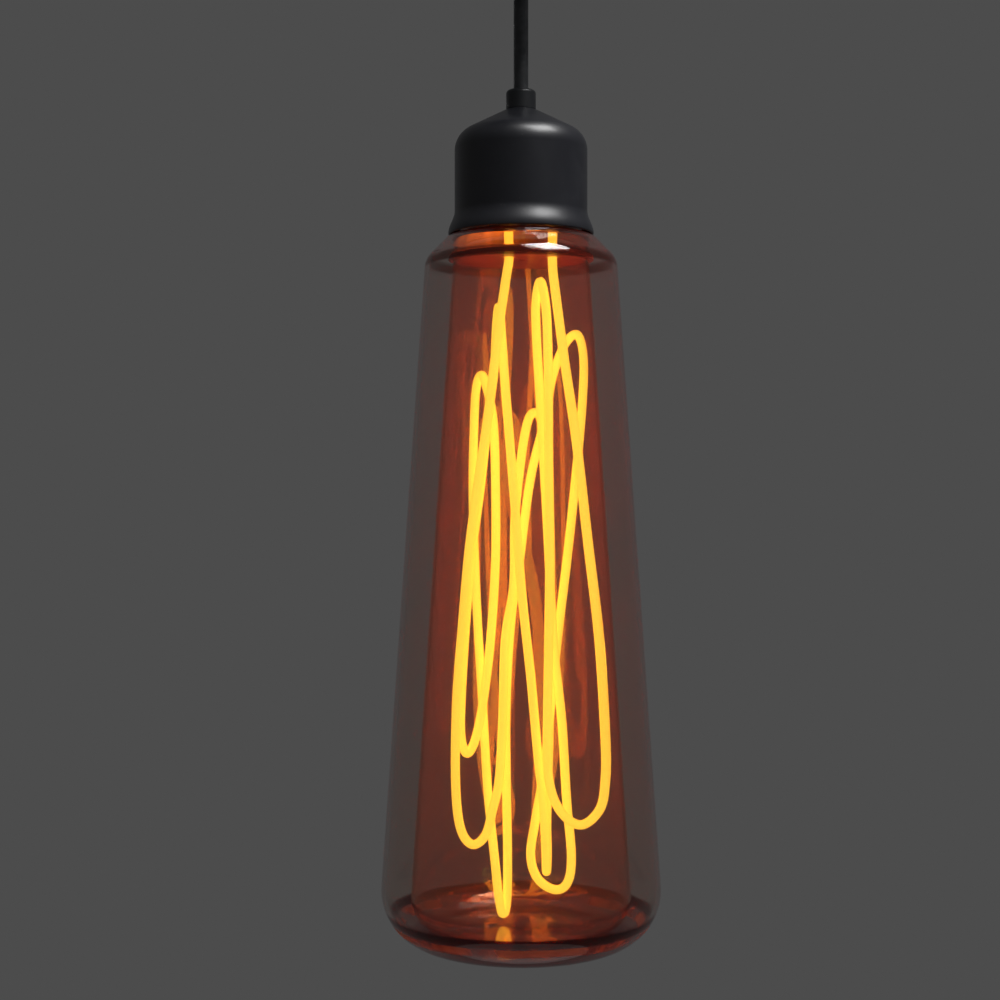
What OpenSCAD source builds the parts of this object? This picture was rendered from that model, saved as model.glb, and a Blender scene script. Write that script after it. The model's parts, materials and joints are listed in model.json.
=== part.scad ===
// Pendant lamp with a large smoked glass bulb, hung on a cord from a ceiling rose.
// Millimetres, +Z up. The origin is on the ceiling, at the centre of the rose's upper face.
// The bulb unscrews from its holder, the whole lamp swings on its cord.

/* [Ceiling rose] */
// Diameter of the rose cover
rose_d = 100; // [84:1:108]
// Height of the rose cover
rose_h = 25; // [24:0.5:34]
// Wall of the rose cover
rose_wall = 1.5; // [1:0.1:2.5]
// Radius of the rose cover's lower edge
rose_edge_r = 6; // [3:0.5:8]
// Distance between the two ceiling screws
screw_pitch = 60; // [46:1:64]
// Diameter of the ceiling screw holes
ceiling_hole_d = 4.6; // [4:0.1:5.5]
// Width of the rose bracket
bracket_w = 14; // [12:0.5:16]
// Thickness of the rose bracket
bracket_t = 1.6; // [1.2:0.1:2]
// Thread diameter of the two side screws
side_screw_d = 3.8; // [3:0.1:4.5]
// Length of the rose's cord grip below the cover
rose_grip_h = 10; // [9:0.5:14]

/* [Cord] */
// Diameter of the cord
cord_d = 6; // [5:0.1:6.4]
// Free length of the cord between its two grips
cord_drop = 49; // [42:1:400]
// Diameter of one insulated core
core_d = 1.9; // [1.6:0.1:2]

/* [Cord grip and nipple] */
// Outer diameter of a cord grip
grip_d = 12.2; // [11.8:0.1:14]
// Height of the lamp's cord grip
grip_h = 8.1; // [7.5:0.1:14]
// Outer diameter of a threaded nipple
nipple_d = 10; // [9.6:0.1:10.4]
// Bore of a threaded nipple
nipple_bore = 7.1; // [6.8:0.1:7.6]
// Width of a lock nut across its flats
nut_flats = 14; // [12:0.5:15]
// Height of a lock nut
nut_h = 2.2; // [1.8:0.1:2.4]

/* [Cup] */
// Diameter of the cup's straight wall
cup_d = 54.4; // [53:0.2:57]
// Height of the cup
cup_h = 51.3; // [51:0.1:54]
// Wall of the cup
cup_wall = 1.2; // [0.9:0.1:1.4]
// Radius of the cup's shoulder
cup_shoulder_r = 10; // [8:0.5:11]
// Fall of the cup's top, in degrees
cup_top_slope = 27; // [22:1:29]
// Diameter of the cup's flared rim
rim_d = 59.6; // [59:0.1:61]
// Height of the flared skirt above the rim
flare_h = 9; // [7:0.5:11]

/* [Lampholder] */
// Diameter of the porcelain insert
insert_d = 51.2; // [49:0.2:51.2]
// Thickness of the insert's top wall
insert_top_t = 2.5; // [2.2:0.1:3]
// Thickness of the strap that carries the insert
strap_t = 1.2; // [1:0.1:1.5]
// Width of the strap
strap_w = 13; // [12:0.5:13.5]
// Travel of the centre contact
contact_travel = 0.8; // [0.5:0.1:0.9]
// Diameter of the centre contact's head
plunger_d = 6.8; // [6:0.1:7.5]

/* [Screw thread] */
// Pitch of the lamp thread
thread_pitch = 3.629; // [3.2:0.01:4]
// Outer diameter of the cap's thread
thread_major_d = 26.2; // [25.8:0.05:26.4]
// Height of the thread's waves, crest to root
thread_depth = 0.9; // [0.7:0.05:1]
// Radial play between the two threads
thread_play = 0.22; // [0.2:0.01:0.3]

/* [Bulb cap] */
// Height of the cap from the contact's tip to its rim
cap_h = 25; // [24:0.2:25.6]
// Height of the plain skirt under the thread
skirt_h = 2.2; // [1.8:0.1:2.6]
// Diameter of the contact button
button_d = 9.2; // [8:0.1:10]

/* [Outer glass] */
// Widest diameter of the outer glass, near its foot
glass_d = 114.4; // [108:0.2:120]
// Diameter of the outer glass just under its shoulder
glass_shoulder_d = 79; // [74:0.5:84]
// Length of the glass below the cup's rim
glass_len = 291; // [270:1:310]
// Radius of the glass's lower corner
glass_corner_r = 23.6; // [16:0.2:26]
// Radius of the glass's shoulder
glass_shoulder_r = 8.7; // [6:0.1:12]
// Slope of the glass just under the cup, in degrees
glass_shoulder_slope = 46; // [38:1:54]
// Wall of the outer glass
glass_wall = 1.8; // [1.2:0.1:2.4]
// Diameter of the glass's neck inside the cap
neck_d = 22; // [20:0.1:22.4]

/* [Inner glass] */
// Diameter of the inner glass at its top
inner_top_d = 55.6; // [54:0.2:58]
// Widest diameter of the inner glass, near its foot
inner_foot_d = 90; // [86:0.5:94]
// Clear height between the two glasses' floors
floor_gap = 5.5; // [4:0.1:6]
// Radius of the inner glass's lower corner
inner_corner_r = 12; // [8:0.5:14]
// Wall of the inner glass
inner_wall = 1.2; // [0.8:0.1:1.4]

/* [Mount plate and stem] */
// Drop from the cup's rim to the mount plate's lower face
plate_drop = 10.5; // [9.5:0.1:11.5]
// Thickness of the mount plate
plate_t = 2; // [1.6:0.1:2.4]
// How far the plate stands past the inner glass
plate_lip = 2; // [1.6:0.1:2.2]
// Outer diameter of the upper edge of the glass collar on the plate
collar_top_d = 55; // [50:0.2:55.4]
// Diameter of the stem tube
stem_d = 12; // [10:0.5:13]
// Diameter of a lead-in wire
lead_d = 0.8; // [0.6:0.1:1]

/* [Filament] */
// Diameter of the filament
filament_d = 3.7; // [3:0.1:3.7]
// Outer diameter of the ferrules that hold its ends
ferrule_d = 5.8; // [5.2:0.1:6.4]

/* [Hidden] */
$fn = 96;

// Clearances
fit = 0.05;            // between pieces that are assembled and stay
run = 0.06;            // between a shaft and the hole that it turns or slides in
bore_play = 0.3;       // round the cord's ball ends in the grips
ball_gap = 0.4;        // from a ball end to the fixed end of the cord above or below it
contact_gap = 0.1;     // from the bulb's contact to the plunger
rim_gap = 0.7;         // from the cup's rim to the glass
screw_gap = 0.1;       // round screws in their holes
head_r_share = 0.87;   // a screw head's radius and height, as shares of the screw's diameter
head_h_share = 0.55;

// Levels, from the ceiling down
z_rose = -rose_h;
z_swing = z_rose - rose_grip_h;
z_tilt = z_swing - cord_drop;
z_cup = z_tilt - grip_h;
z_rim = z_cup - cup_h;

// Cup
cup_r = cup_d / 2;
cup_arc_x = cup_r - cup_shoulder_r;
cup_arc_top = cup_arc_x + cup_shoulder_r * sin(cup_top_slope);
cup_flat_r = grip_d / 2;
cup_arc_z = z_cup - (cup_arc_top - cup_flat_r) * tan(cup_top_slope)
    - cup_shoulder_r * cos(cup_top_slope);
ceiling_drop = 5.3;
z_ceiling = z_cup - ceiling_drop;
inner_top_z = cup_arc_z + cup_shoulder_r * cos(cup_top_slope)
    - cup_wall * cos(cup_top_slope);
inner_top_x = cup_arc_top - cup_wall * sin(cup_top_slope);
ceiling_r = inner_top_x - (z_ceiling - inner_top_z) / tan(cup_top_slope);
lip_r = cup_wall / 2;

// Nipple, nut and strap under the cup's ceiling
z_strap = z_ceiling - strap_t;
z_nut = z_strap - nut_h;
nipple_tail = 0.4;
z_nipple = z_nut - nipple_tail;
socket_h = 6;
strap_flat = 8.8;
ear_x = 14.2;
ear_drop = 2.4;
foot_x = 20.6;
foot_hole_x = 17.5;
strap_screw_d = 3;
strap_screw_h = 9;

// Insert
insert_r = insert_d / 2;
room_h = 3.8;
z_insert = z_nut - nipple_tail - room_h;
z_floor = z_insert - insert_top_t;

// Centre contact
plunger_reach = 4;
plunger_t = 1.2;
z_face = z_floor - plunger_reach;
pin_r = 1.5;
bush_r = 3;
bush_lip = 0.6;
pin_head_r = 1.9;
pin_head_t = 0.6;

// Thread, with the hole's facets opened so that they clear the cap's at every turn
thread_sides = 36;
rows_per_turn = 8;
thread_amp = thread_depth / 2;
cap_mean_r = thread_major_d / 2 - thread_amp;
holder_mean_r = (cap_mean_r + thread_play) / cos(180 / thread_sides);

// Cap of the bulb
z_tip = z_face - contact_gap;
z_cap_rim = z_tip - cap_h;
button_t = 1.1;
insulator_rise = 2.9;
z_shell_top = z_tip - button_t - insulator_rise;
cap_bore_r = cap_mean_r - thread_amp - 0.4;
skirt_r = thread_major_d / 2 + 0.1;
rivet_r = 1.8;
rivet_h = 2.6;
insulator_depth = 2.4;

// Shell of the holder
holder_outer_r = holder_mean_r + thread_amp + 0.65;
holder_play = 0.3;
z_holder = z_cap_rim + skirt_h + holder_play;
z_thread_top = z_shell_top + 3;
flange_t = 0.6;
flange_r = 11;
throat_r = skirt_r + 1.4;

// Terminals in the lampholder
block = [6, 5, 4.2];
block_y = 14;
wire_z = z_insert + 2.3;
clamp_r = 1.2;
link_w = 3;
link_ring = 1.4;
rivet_y = 12.4;
rivet_pin_r = 1;

// Outer glass
neck_r = neck_d / 2;
neck_in_cap = 8;
z_neck = z_cap_rim + neck_in_cap;
z_glass = z_rim - glass_len;
brow_r = 21;
brow_drop = 1.6;
glass_ends = 40;       // height of its shoulder and lower corner together
taper = atan((glass_d - glass_shoulder_d) / 2 / (glass_len - glass_ends));
glass_r = glass_d / 2;
shoulder_turn = 90 - glass_shoulder_slope;
rim_r = rim_d / 2 + 0.2;

// Inner glass
z_plate = z_rim - plate_drop;
z_inner = z_glass + glass_wall + floor_gap;
inner_top_r = inner_top_d / 2;
inner_foot_r = inner_foot_d / 2;
collar_gap = 2.9;
collar_clear = 2;
collar_top_r = collar_top_d / 2;
collar_foot_r = inner_top_r + plate_lip - 0.2;

// Filament: its ends pass up through the plate, its loops are drawn for a cage of this size
drawn_h = 272;
drawn_r = 43.8;
cage_h = z_plate - z_inner - inner_wall;
cage_r = inner_foot_r - inner_wall;
leg_rise = plate_drop - 1.5;
ferrule_lip = 1.2;
ferrule_bore_r = filament_d / 2 + 2 * fit;

// Stem
z_plate_top = z_plate + plate_t;
cap_grip = 1.4;
end_room = 0.3;
cap_t = 0.8;
z_leg = z_plate + leg_rise;
z_caps = z_leg + end_room + cap_t;
z_across = z_caps + 1.3;
press_t = 3;
post_r = 1.6;
z_press = z_across + 1.1;
lead_x = 2.4;

// Rose
z_bar = -bracket_t;
ear_face = rose_d / 2 - rose_wall - 0.9;
ear_h = 15;
side_z = -9;
side_screw_h = 6;
tblock = [24, 14, 12];
tube_x = 7;
tube_z = z_bar - 6;
tube_r = 2.4;
tube_bore_r = 1.3;
block_screw_d = 2.5;
block_screw_y = 4;

// Centre line of the filament: across, towards the back, and down from the mount plate.
// Twelve strands, six loops: down on the right, then to and fro, and up at the left.
filament_route = [
    // first lead, down the right side
    [12.5, -9, -1], [12.5, -9, -0.3], [12.5, -9, 1.5], [12.8, -9.8, 7], [14, -12, 17.5],
    [17, -15, 42], [21.5, -17, 74], [26, -17, 114], [30.5, -17, 154], [33, -17, 194],
    [33, -17, 211], [31, -16.5, 222], [24, -15, 228.5],
    [16.5, -12.5, 224.5],
    // up to the tallest peak
    [11.8, -11, 214.5], [10.5, -10, 199], [11, -10, 158.5], [11.5, -10, 118], [11, -10, 82],
    [10.8, -10, 44], [10, -9, 21], [7.8, -7, 9.5],
    // down to the lowest right loop
    [6, -5, 18.5], [6.5, -4.5, 37], [8.5, -4.5, 69.5], [11, -4.5, 114.5], [13, -4.5, 155],
    [16.5, -4.5, 187.5], [18.5, -4.5, 220], [20.5, -4, 243], [19, -3, 254], [14, -1, 257.5],
    [7, 1, 253.5],
    // up to the second peak on the right
    [4, 2, 244], [6, 2, 229.5], [10, 2, 205], [15, 2, 155.5], [19, 2, 122.5], [22.5, 2, 90],
    [25.5, 2, 57], [26, 3, 39], [23.5, 5, 30],
    // down the middle to the lowest loop
    [18.3, 7, 34], [13, 7, 48], [10, 7, 65], [4, 7, 89.5], [-0.5, 6.5, 123], [-4, 6.5, 147.5],
    [-6, 6.5, 180.5], [-6, 6, 213.5], [-5.5, 4, 242.5], [-5.8, 3, 263], [-7.5, 1, 268],
    // up to the left peak
    [-9.2, 0, 260], [-10.5, 1, 248], [-12.5, 5, 230], [-14, 7, 214], [-16, 9, 181],
    [-18.5, 10, 139.5], [-20, 10, 98], [-19.5, 10, 65], [-18.5, 9, 51], [-16.5, 8, 46.5],
    // down to the short left loop
    [-14.5, 6, 50.5], [-11.5, 5, 65], [-10.5, 5, 89.5], [-10.5, 5, 123], [-12.5, 4, 155.5],
    [-15.5, 3, 180.5], [-18.5, 2, 195.5], [-22, 0.5, 202],
    // up to the middle peak
    [-24.5, -0.5, 195.5], [-24.5, -1, 180], [-22.5, -1, 147], [-20, -1, 118.5], [-17, -1, 96],
    [-13.5, -1, 65], [-11, -1, 45], [-10, -2, 27], [-9, -4, 19.5],
    // down to the middle loop
    [-8, -6.5, 30], [-6.5, -8, 51.5], [-4, -9, 82], [-1.5, -9, 114], [0.5, -9, 138.5],
    [4, -8, 171], [7, -5, 204], [9, -4, 220.5], [10, -3, 239], [10.5, 1, 250.5],
    // up to the low peak
    [11, 6, 244], [11, 11, 229], [12, 14, 198.5], [12.5, 14, 160.5], [12.5, 14, 114.5],
    [11.5, 14, 81.5], [9.2, 12, 66.5], [6, 8, 62],
    // down to the outer left loop
    [2.8, 4, 66], [0, 0, 81.5], [-2.5, 0, 106], [-3, 0, 133], [-6.5, 0, 155.5], [-7.5, 0, 188],
    [-9, 0, 213], [-11.5, -3, 224], [-14.5, -5, 234.5], [-20, -6, 238],
    // second lead, up the left side
    [-24.7, -7.5, 230.5], [-26.5, -8, 211.5], [-26, -8, 179], [-23.5, -8, 146.5],
    [-21, -8.5, 118.5], [-18, -10, 96], [-13.5, -12, 65.5], [-10.5, -13.5, 41.5],
    [-8.5, -13.5, 25.5], [-6, -10.2, 8], [-5, -9, 1.5], [-5, -9, -0.3],
    [-5, -9, -1]
];
filament_sides = 8;
filament_steps = 2;
filament_from = filament_route[0];
filament_to = filament_route[len(filament_route) - 1];

// Cord and cores: across, along and share of the way from the cord's cut end to the terminal
cord_sides = 12;
core_sides = 8;
cord_stations = [0, 0.25, 0.5, 0.75, 1];
ball_angles = [75, 50, 25, 0];
holder_core_route = [
    [0, 1.3, 0.03], [0, 1.3, 0.2], [0, 1.7, 0.5], [0, 2.9, 0.82], [0, 5, 0.95], [0, 9, 1]
];
rose_core_route = [
    [1.1, 0, 0.03], [1.1, 0, 0.08], [1.4, -1.4, 0.18], [2.6, -5, 0.3], [4.8, -9.5, 0.46],
    [6.5, -12, 0.7], [7, -11.4, 0.93], [7, -9.4, 1]
];

// Points of a smooth curve through the given points
function curve_point(a, b, c, d, t) =
    0.5 * (2 * b + (c - a) * t + (2 * a - 5 * b + 4 * c - d) * t * t
        + (3 * b - a - 3 * c + d) * t * t * t);
function smooth(p, steps) = let (n = len(p)) concat(
    [for (i = [0 : n - 2], k = [0 : steps - 1])
        curve_point(p[max(i - 1, 0)], p[i], p[i + 1], p[min(i + 2, n - 1)], k / steps)],
    [p[n - 1]]);

// Directions along a line of points, and for each a side direction that never twists
function unit(v) = v / norm(v);
function direction(p, i) = let (n = len(p)) unit(p[min(i + 1, n - 1)] - p[max(i - 1, 0)]);
function squared(u, t) = unit(u - t * (u * t));
function side_directions(p) = [
    for (i = 0, u = squared([0.31, 1, 0.17], direction(p, 0)); i < len(p);
        i = i + 1, u = squared(u, direction(p, min(i, len(p) - 1)))) u];
function least(v) = min(v);

// A row of points round each station of a line, radii one per station
function ring_points(p, radii, sides) = let (u = side_directions(p)) [
    for (i = [0 : len(p) - 1]) let (w = cross(direction(p, i), u[i])) for (j = [0 : sides - 1])
        p[i] + radii[i] * (u[i] * cos(360 * j / sides) + w * sin(360 * j / sides))];
function tube_faces(rings, sides) = concat(
    [for (i = [0 : rings - 2], j = [0 : sides - 1])
        let (a = i * sides + j, b = i * sides + (j + 1) % sides)
        each [[a, a + sides, b], [b, a + sides, b + sides]]],
    [for (j = [1 : sides - 2]) [0, j, j + 1]],
    [for (j = [1 : sides - 2]) let (e = (rings - 1) * sides) [e, e + j + 1, e + j]]);

// One unbroken round tube along a line of points
module tube(p, d, sides) {
    polyhedron(points = ring_points(p, [for (q = p) d / 2], sides),
        faces = tube_faces(len(p), sides), convexity = 10);
}

// Least distance between stretches of a line that are not neighbours, less its thickness
function self_gap(p, d, skip) = least([
    for (i = [0 : len(p) - 1]) least(concat([999], [
        for (j = [i + skip : 1 : len(p) - 1]) norm(p[i] - p[j])]))]) - d;

// A closed skin of rows round the Z axis; each row holds its height and its radii
module skin(rows, sides) {
    n = len(rows);
    polyhedron(
        points = [for (row = rows) for (j = [0 : sides - 1])
            let (a = 360 * j / sides) [row[1][j] * cos(a), row[1][j] * sin(a), row[0]]],
        faces = [for (i = [0 : n - 1], j = [0 : sides - 1])
            let (k = (i + 1) % n, a = i * sides + j, b = i * sides + (j + 1) % sides,
                c = k * sides + j, d = k * sides + (j + 1) % sides)
            each [[a, c, b], [b, c, d]]],
        convexity = 10);
}
function even_row(z, r) = [z, [for (j = [0 : thread_sides - 1]) r]];
function thread_row(z, mean, limit) = [z, [
    for (j = [0 : thread_sides - 1])
        min(limit, mean + thread_amp * cos(360 * (z - z_cap_rim) / thread_pitch
            - 360 * j / thread_sides))]];

// Outline helpers: an arc as points, from one angle to another
function arc(x, z, r, from, to, steps) = [
    for (k = [0 : steps]) let (a = from + (to - from) * k / steps)
        [x + r * cos(a), z + r * sin(a)]];
function reversed(p) = [for (i = [len(p) - 1 : -1 : 0]) p[i]];

module ring(r_out, r_in, h) {
    difference() {
        cylinder(r = r_out, h = h);
        translate([0, 0, -1]) cylinder(r = r_in, h = h + 2);
    }
}

module pan_screw(d, h) {
    cylinder(r = d * head_r_share, h = d * head_h_share);
    translate([0, 0, -h]) cylinder(r = d / 2, h = h + d * head_h_share / 2);
}

module hex_nut() {
    difference() {
        cylinder(r = nut_flats / 2 / cos(30), h = nut_h, $fn = 6);
        translate([0, 0, -1]) cylinder(r = nipple_d / 2 + fit, h = nut_h + 2);
    }
}

module hollow_nipple(h) {
    ring(nipple_d / 2, nipple_bore / 2, h);
}

// A cord grip stands on its base at z = 0, mouth up
module grip(h) {
    edge = 1.6;
    r = grip_d / 2;
    mouth_r = cord_d / 2 + bore_play;
    rotate_extrude() polygon(concat(
        [[nipple_d / 2 + fit, 0], [r, 0]],
        arc(r - edge, h - edge, edge, 0, 90, 6),
        [[mouth_r, h], [mouth_r, socket_h], [nipple_d / 2 + fit, socket_h]]));
}

// Ceiling rose

module rose_cover() {
    r = rose_d / 2;
    outer = concat([[r, 0]], arc(r - rose_edge_r, z_rose + rose_edge_r, rose_edge_r, 0, -90, 10));
    inner = concat(
        [[nipple_d / 2 + screw_gap, z_rose + rose_wall]],
        arc(r - rose_edge_r, z_rose + rose_edge_r, rose_edge_r - rose_wall, -90, 0, 10),
        [[r - rose_wall, 0]]);
    color([0.16, 0.16, 0.17]) difference() {
        rotate_extrude() polygon(concat(outer, [[nipple_d / 2 + screw_gap, z_rose]], inner));
        translate([-r - 5, 0, side_z]) rotate([0, 90, 0])
            cylinder(d = side_screw_d + 2 * screw_gap, h = 2 * r + 10);
    }
}

module rose_bracket() {
    color([0.72, 0.73, 0.74]) difference() {
        union() {
            translate([-ear_face, -bracket_w / 2, z_bar])
                cube([2 * ear_face, bracket_w, bracket_t]);
            for (side = [-1, 1])
                translate([side * (ear_face - bracket_t / 2) - bracket_t / 2,
                    -bracket_w / 2, -ear_h])
                    cube([bracket_t, bracket_w, ear_h]);
        }
        for (side = [-1, 1]) translate([side * screw_pitch / 2, 0, z_bar - 1])
            cylinder(d = ceiling_hole_d, h = bracket_t + 2);
        translate([-ear_face - 1, 0, side_z]) rotate([0, 90, 0])
            cylinder(d = side_screw_d + 2 * fit, h = 2 * ear_face + 2);
        for (end = [-1, 1]) translate([0, end * block_screw_y, z_bar - 1])
            cylinder(d = block_screw_d + 2 * fit, h = bracket_t + 2);
    }
}

module rose_side_screws() {
    color([0.3, 0.3, 0.31]) for (side = [-1, 1])
        translate([side * (rose_d / 2 + fit), 0, side_z]) rotate([0, side * 90, 0])
            pan_screw(side_screw_d, side_screw_h);
}

module rose_terminal_block() {
    color([0.88, 0.87, 0.83]) difference() {
        translate([-tblock[0] / 2, -tblock[1] / 2, z_bar - tblock[2]]) cube(tblock);
        for (side = [-1, 1]) {
            translate([side * tube_x, tblock[1] / 2 + 1, tube_z]) rotate([90, 0, 0])
                cylinder(r = tube_r + fit, h = tblock[1] + 2);
            for (end = [-1, 1])
                translate([side * tube_x, end * 4, z_bar - tblock[2] - 1])
                    cylinder(r = clamp_r + 0.5, h = 6);
        }
        for (end = [-1, 1]) translate([0, end * block_screw_y, z_bar - tblock[2] - 1])
            cylinder(d = block_screw_d + 2 * screw_gap, h = tblock[2] + 2);
    }
}

module rose_terminals() {
    color([0.8, 0.66, 0.34]) for (side = [-1, 1])
        difference() {
            translate([side * tube_x, tblock[1] / 2 - 1, tube_z]) rotate([90, 0, 0])
                ring(tube_r, tube_bore_r, tblock[1] - 2);
            for (end = [-1, 1]) translate([side * tube_x, end * 4, tube_z - tube_r - 1])
                cylinder(r = clamp_r + fit, h = tube_r + 1);
        }
}

module rose_terminal_screws() {
    reach = 1.4;
    color([0.78, 0.78, 0.76]) for (side = [-1, 1], end = [-1, 1])
        translate([side * tube_x, end * 4, tube_z - tube_bore_r - 3])
            cylinder(r = clamp_r, h = 3 + tube_bore_r - reach + fit);
}

module rose_block_screws() {
    color([0.75, 0.75, 0.74]) for (end = [-1, 1])
        translate([0, end * block_screw_y, z_bar - tblock[2]]) rotate([180, 0, 0])
            pan_screw(block_screw_d, tblock[2] + bracket_t - screw_gap);
}

module rose_nipple() {
    color([0.74, 0.72, 0.62])
        translate([0, 0, z_rose - socket_h + 0.3])
        hollow_nipple(socket_h - 0.3 + rose_wall + nut_h + nipple_tail);
}

module rose_lock_nut() {
    color([0.76, 0.76, 0.75]) translate([0, 0, z_rose + rose_wall]) hex_nut();
}

module rose_cord_grip() {
    color([0.05, 0.05, 0.06]) translate([0, 0, z_rose]) mirror([0, 0, 1]) grip(rose_grip_h);
}

rose_end_z = z_swing + cord_d / 2 + ball_gap;
rose_end_top = z_rose + rose_wall + nut_h;

module rose_cord_end() {
    color([0.05, 0.05, 0.06]) translate([0, 0, rose_end_z])
        cylinder(d = cord_d, h = rose_end_top - rose_end_z);
}

module rose_core(side, shade) {
    tube_end = [side * tube_x, -tblock[1] / 2 + 1.5, tube_z];
    points = concat(
        [for (p = rose_core_route)
            [side * p[0], p[1], rose_end_top + p[2] * (tube_z - rose_end_top)]],
        [tube_end]);
    color(shade) tube(smooth(points, 2), core_d, core_sides);
}
module rose_core_live() { rose_core(1, [0.45, 0.25, 0.15]); }
module rose_core_neutral() { rose_core(-1, [0.25, 0.4, 0.65]); }

// Cord: straight and taut, with a ball at each end that turns in its grip's mouth

module pendant_cord() {
    r = cord_d / 2;
    points = concat(
        [for (a = ball_angles) [0, 0, z_swing + r * sin(a)]],
        [for (s = cord_stations) [0, 0, z_swing - cord_drop * s]],
        [for (a = reversed(ball_angles)) [0, 0, z_tilt - r * sin(a)]]);
    radii = concat([for (a = ball_angles) r * cos(a)], [for (s = cord_stations) r],
        [for (a = reversed(ball_angles)) r * cos(a)]);
    line = [for (i = [0 : len(points) - 1]) if (i == 0 || points[i] != points[i - 1]) points[i]];
    sizes = [for (i = [0 : len(points) - 1]) if (i == 0 || points[i] != points[i - 1]) radii[i]];
    color([0.05, 0.05, 0.06])
        polyhedron(points = ring_points(line, sizes, cord_sides),
            faces = tube_faces(len(line), cord_sides), convexity = 2);
}

// Lampholder

module cord_grip() {
    color([0.05, 0.05, 0.06]) translate([0, 0, z_cup]) grip(grip_h);
}

module nipple() {
    color([0.74, 0.72, 0.62]) translate([0, 0, z_nipple])
        hollow_nipple(z_cup + socket_h - 0.3 - z_nipple);
}

module lock_nut() {
    color([0.76, 0.76, 0.75]) translate([0, 0, z_nut]) hex_nut();
}

flare_x = rim_d / 2 - cup_r;
flare_steps = 8;
function flare(k, inset) = let (t = k / flare_steps)
    [cup_r - inset + flare_x * t * t * (3 - 2 * t), z_rim + lip_r + flare_h * (1 - t)];

module cup() {
    outer = concat(
        [[nipple_d / 2 + screw_gap, z_cup], [cup_flat_r, z_cup]],
        arc(cup_arc_x, cup_arc_z, cup_shoulder_r, 90 - cup_top_slope, 0, 12),
        [for (k = [0 : flare_steps]) flare(k, 0)]);
    lip = arc(rim_d / 2 - lip_r, z_rim + lip_r, lip_r, -20, -160, 6);
    inner = concat(
        [for (k = [flare_steps : -1 : 0]) flare(k, cup_wall)],
        arc(cup_arc_x, cup_arc_z, cup_shoulder_r - cup_wall, 0, 90 - cup_top_slope, 12),
        [[ceiling_r, z_ceiling], [nipple_d / 2 + screw_gap, z_ceiling]]);
    color([0.07, 0.07, 0.08]) rotate_extrude($fn = 128) polygon(concat(outer, lip, inner));
}

module strap() {
    half = [
        [0, z_ceiling], [strap_flat, z_ceiling],
        [ear_x, z_ceiling - ear_drop], [ear_x, z_insert + strap_t],
        [foot_x, z_insert + strap_t], [foot_x, z_insert],
        [ear_x - strap_t, z_insert], [ear_x - strap_t, z_strap - ear_drop],
        [strap_flat - 0.6, z_strap], [0, z_strap]];
    color([0.7, 0.71, 0.72]) difference() {
        rotate([90, 0, 0]) translate([0, 0, -strap_w / 2]) linear_extrude(strap_w) union() {
            polygon(half);
            mirror([1, 0]) polygon(half);
        }
        translate([0, 0, z_strap - 1]) cylinder(d = nipple_d + 2 * screw_gap, h = strap_t + 2);
        for (side = [-1, 1]) translate([side * foot_hole_x, 0, z_insert - 1])
            cylinder(d = strap_screw_d + 2 * screw_gap, h = strap_t + 2);
    }
}

module strap_screws() {
    color([0.75, 0.75, 0.74]) for (side = [-1, 1])
        translate([side * foot_hole_x, 0, z_insert + strap_t])
            pan_screw(strap_screw_d, strap_screw_h);
}

module lampholder_insert() {
    chamfer = 4;
    cavity_r = holder_outer_r + 0.1;
    color([0.93, 0.92, 0.88]) difference() {
        rotate_extrude() polygon([
            [throat_r, z_cap_rim + 0.2], [insert_r, z_rim + 3],
            [insert_r, z_insert - chamfer], [insert_r - 1.8, z_insert],
            [bush_r + fit, z_insert], [bush_r + fit, z_floor],
            [cavity_r, z_floor], [cavity_r, z_holder], [throat_r, z_holder]]);
        for (side = [-1, 1]) translate([side * foot_hole_x, 0, z_insert - strap_screw_h])
            cylinder(d = strap_screw_d + 2 * fit, h = strap_screw_h + 1);
        translate([0, -rivet_y, z_floor - 1]) cylinder(r = rivet_pin_r + fit, h = insert_top_t + 2);
    }
}

module holder_shell() {
    rows = floor((z_thread_top - z_holder) / thread_pitch * rows_per_turn);
    plain_r = holder_mean_r + thread_amp + 0.05;
    color([0.82, 0.68, 0.36]) skin(concat(
        [even_row(z_holder, holder_outer_r), even_row(z_floor, holder_outer_r),
            even_row(z_floor, flange_r), even_row(z_floor - flange_t, flange_r),
            even_row(z_floor - flange_t, plain_r), even_row(z_thread_top, plain_r)],
        [for (k = [rows : -1 : 0])
            thread_row(z_holder + k * thread_pitch / rows_per_turn, holder_mean_r, plain_r)]),
        thread_sides);
}

module contact_bush() {
    color([0.8, 0.66, 0.34]) translate([0, 0, z_floor])
        ring(bush_r, pin_r + run, insert_top_t + bush_lip);
}

module live_link() {
    color([0.8, 0.66, 0.34]) translate([0, 0, z_insert]) difference() {
        union() {
            cylinder(r = bush_r + link_ring, h = bush_lip);
            translate([-link_w / 2, 0, 0]) cube([link_w, block_y - block[1] / 2, bush_lip]);
        }
        translate([0, 0, -1]) cylinder(r = bush_r + fit, h = bush_lip + 2);
    }
}

module neutral_rivet() {
    color([0.8, 0.66, 0.34]) translate([0, -rivet_y, z_floor])
        cylinder(r = rivet_pin_r, h = insert_top_t);
}

module terminals() {
    color([0.8, 0.66, 0.34]) for (side = [-1, 1]) difference() {
        translate([-block[0] / 2, side * block_y - block[1] / 2, z_insert]) cube(block);
        translate([0, side * (block_y + 1), wire_z]) rotate([side * 90, 0, 0])
            cylinder(r = core_d / 2 + screw_gap, h = block[1]);
        translate([0, side * block_y, wire_z]) cylinder(r = clamp_r + fit, h = block[2]);
    }
}

module terminal_screws() {
    color([0.78, 0.78, 0.76]) for (side = [-1, 1])
        translate([0, side * block_y, z_insert + block[2]])
            pan_screw(2 * clamp_r, z_insert + block[2] - wire_z - core_d / 2 - screw_gap);
}

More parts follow.
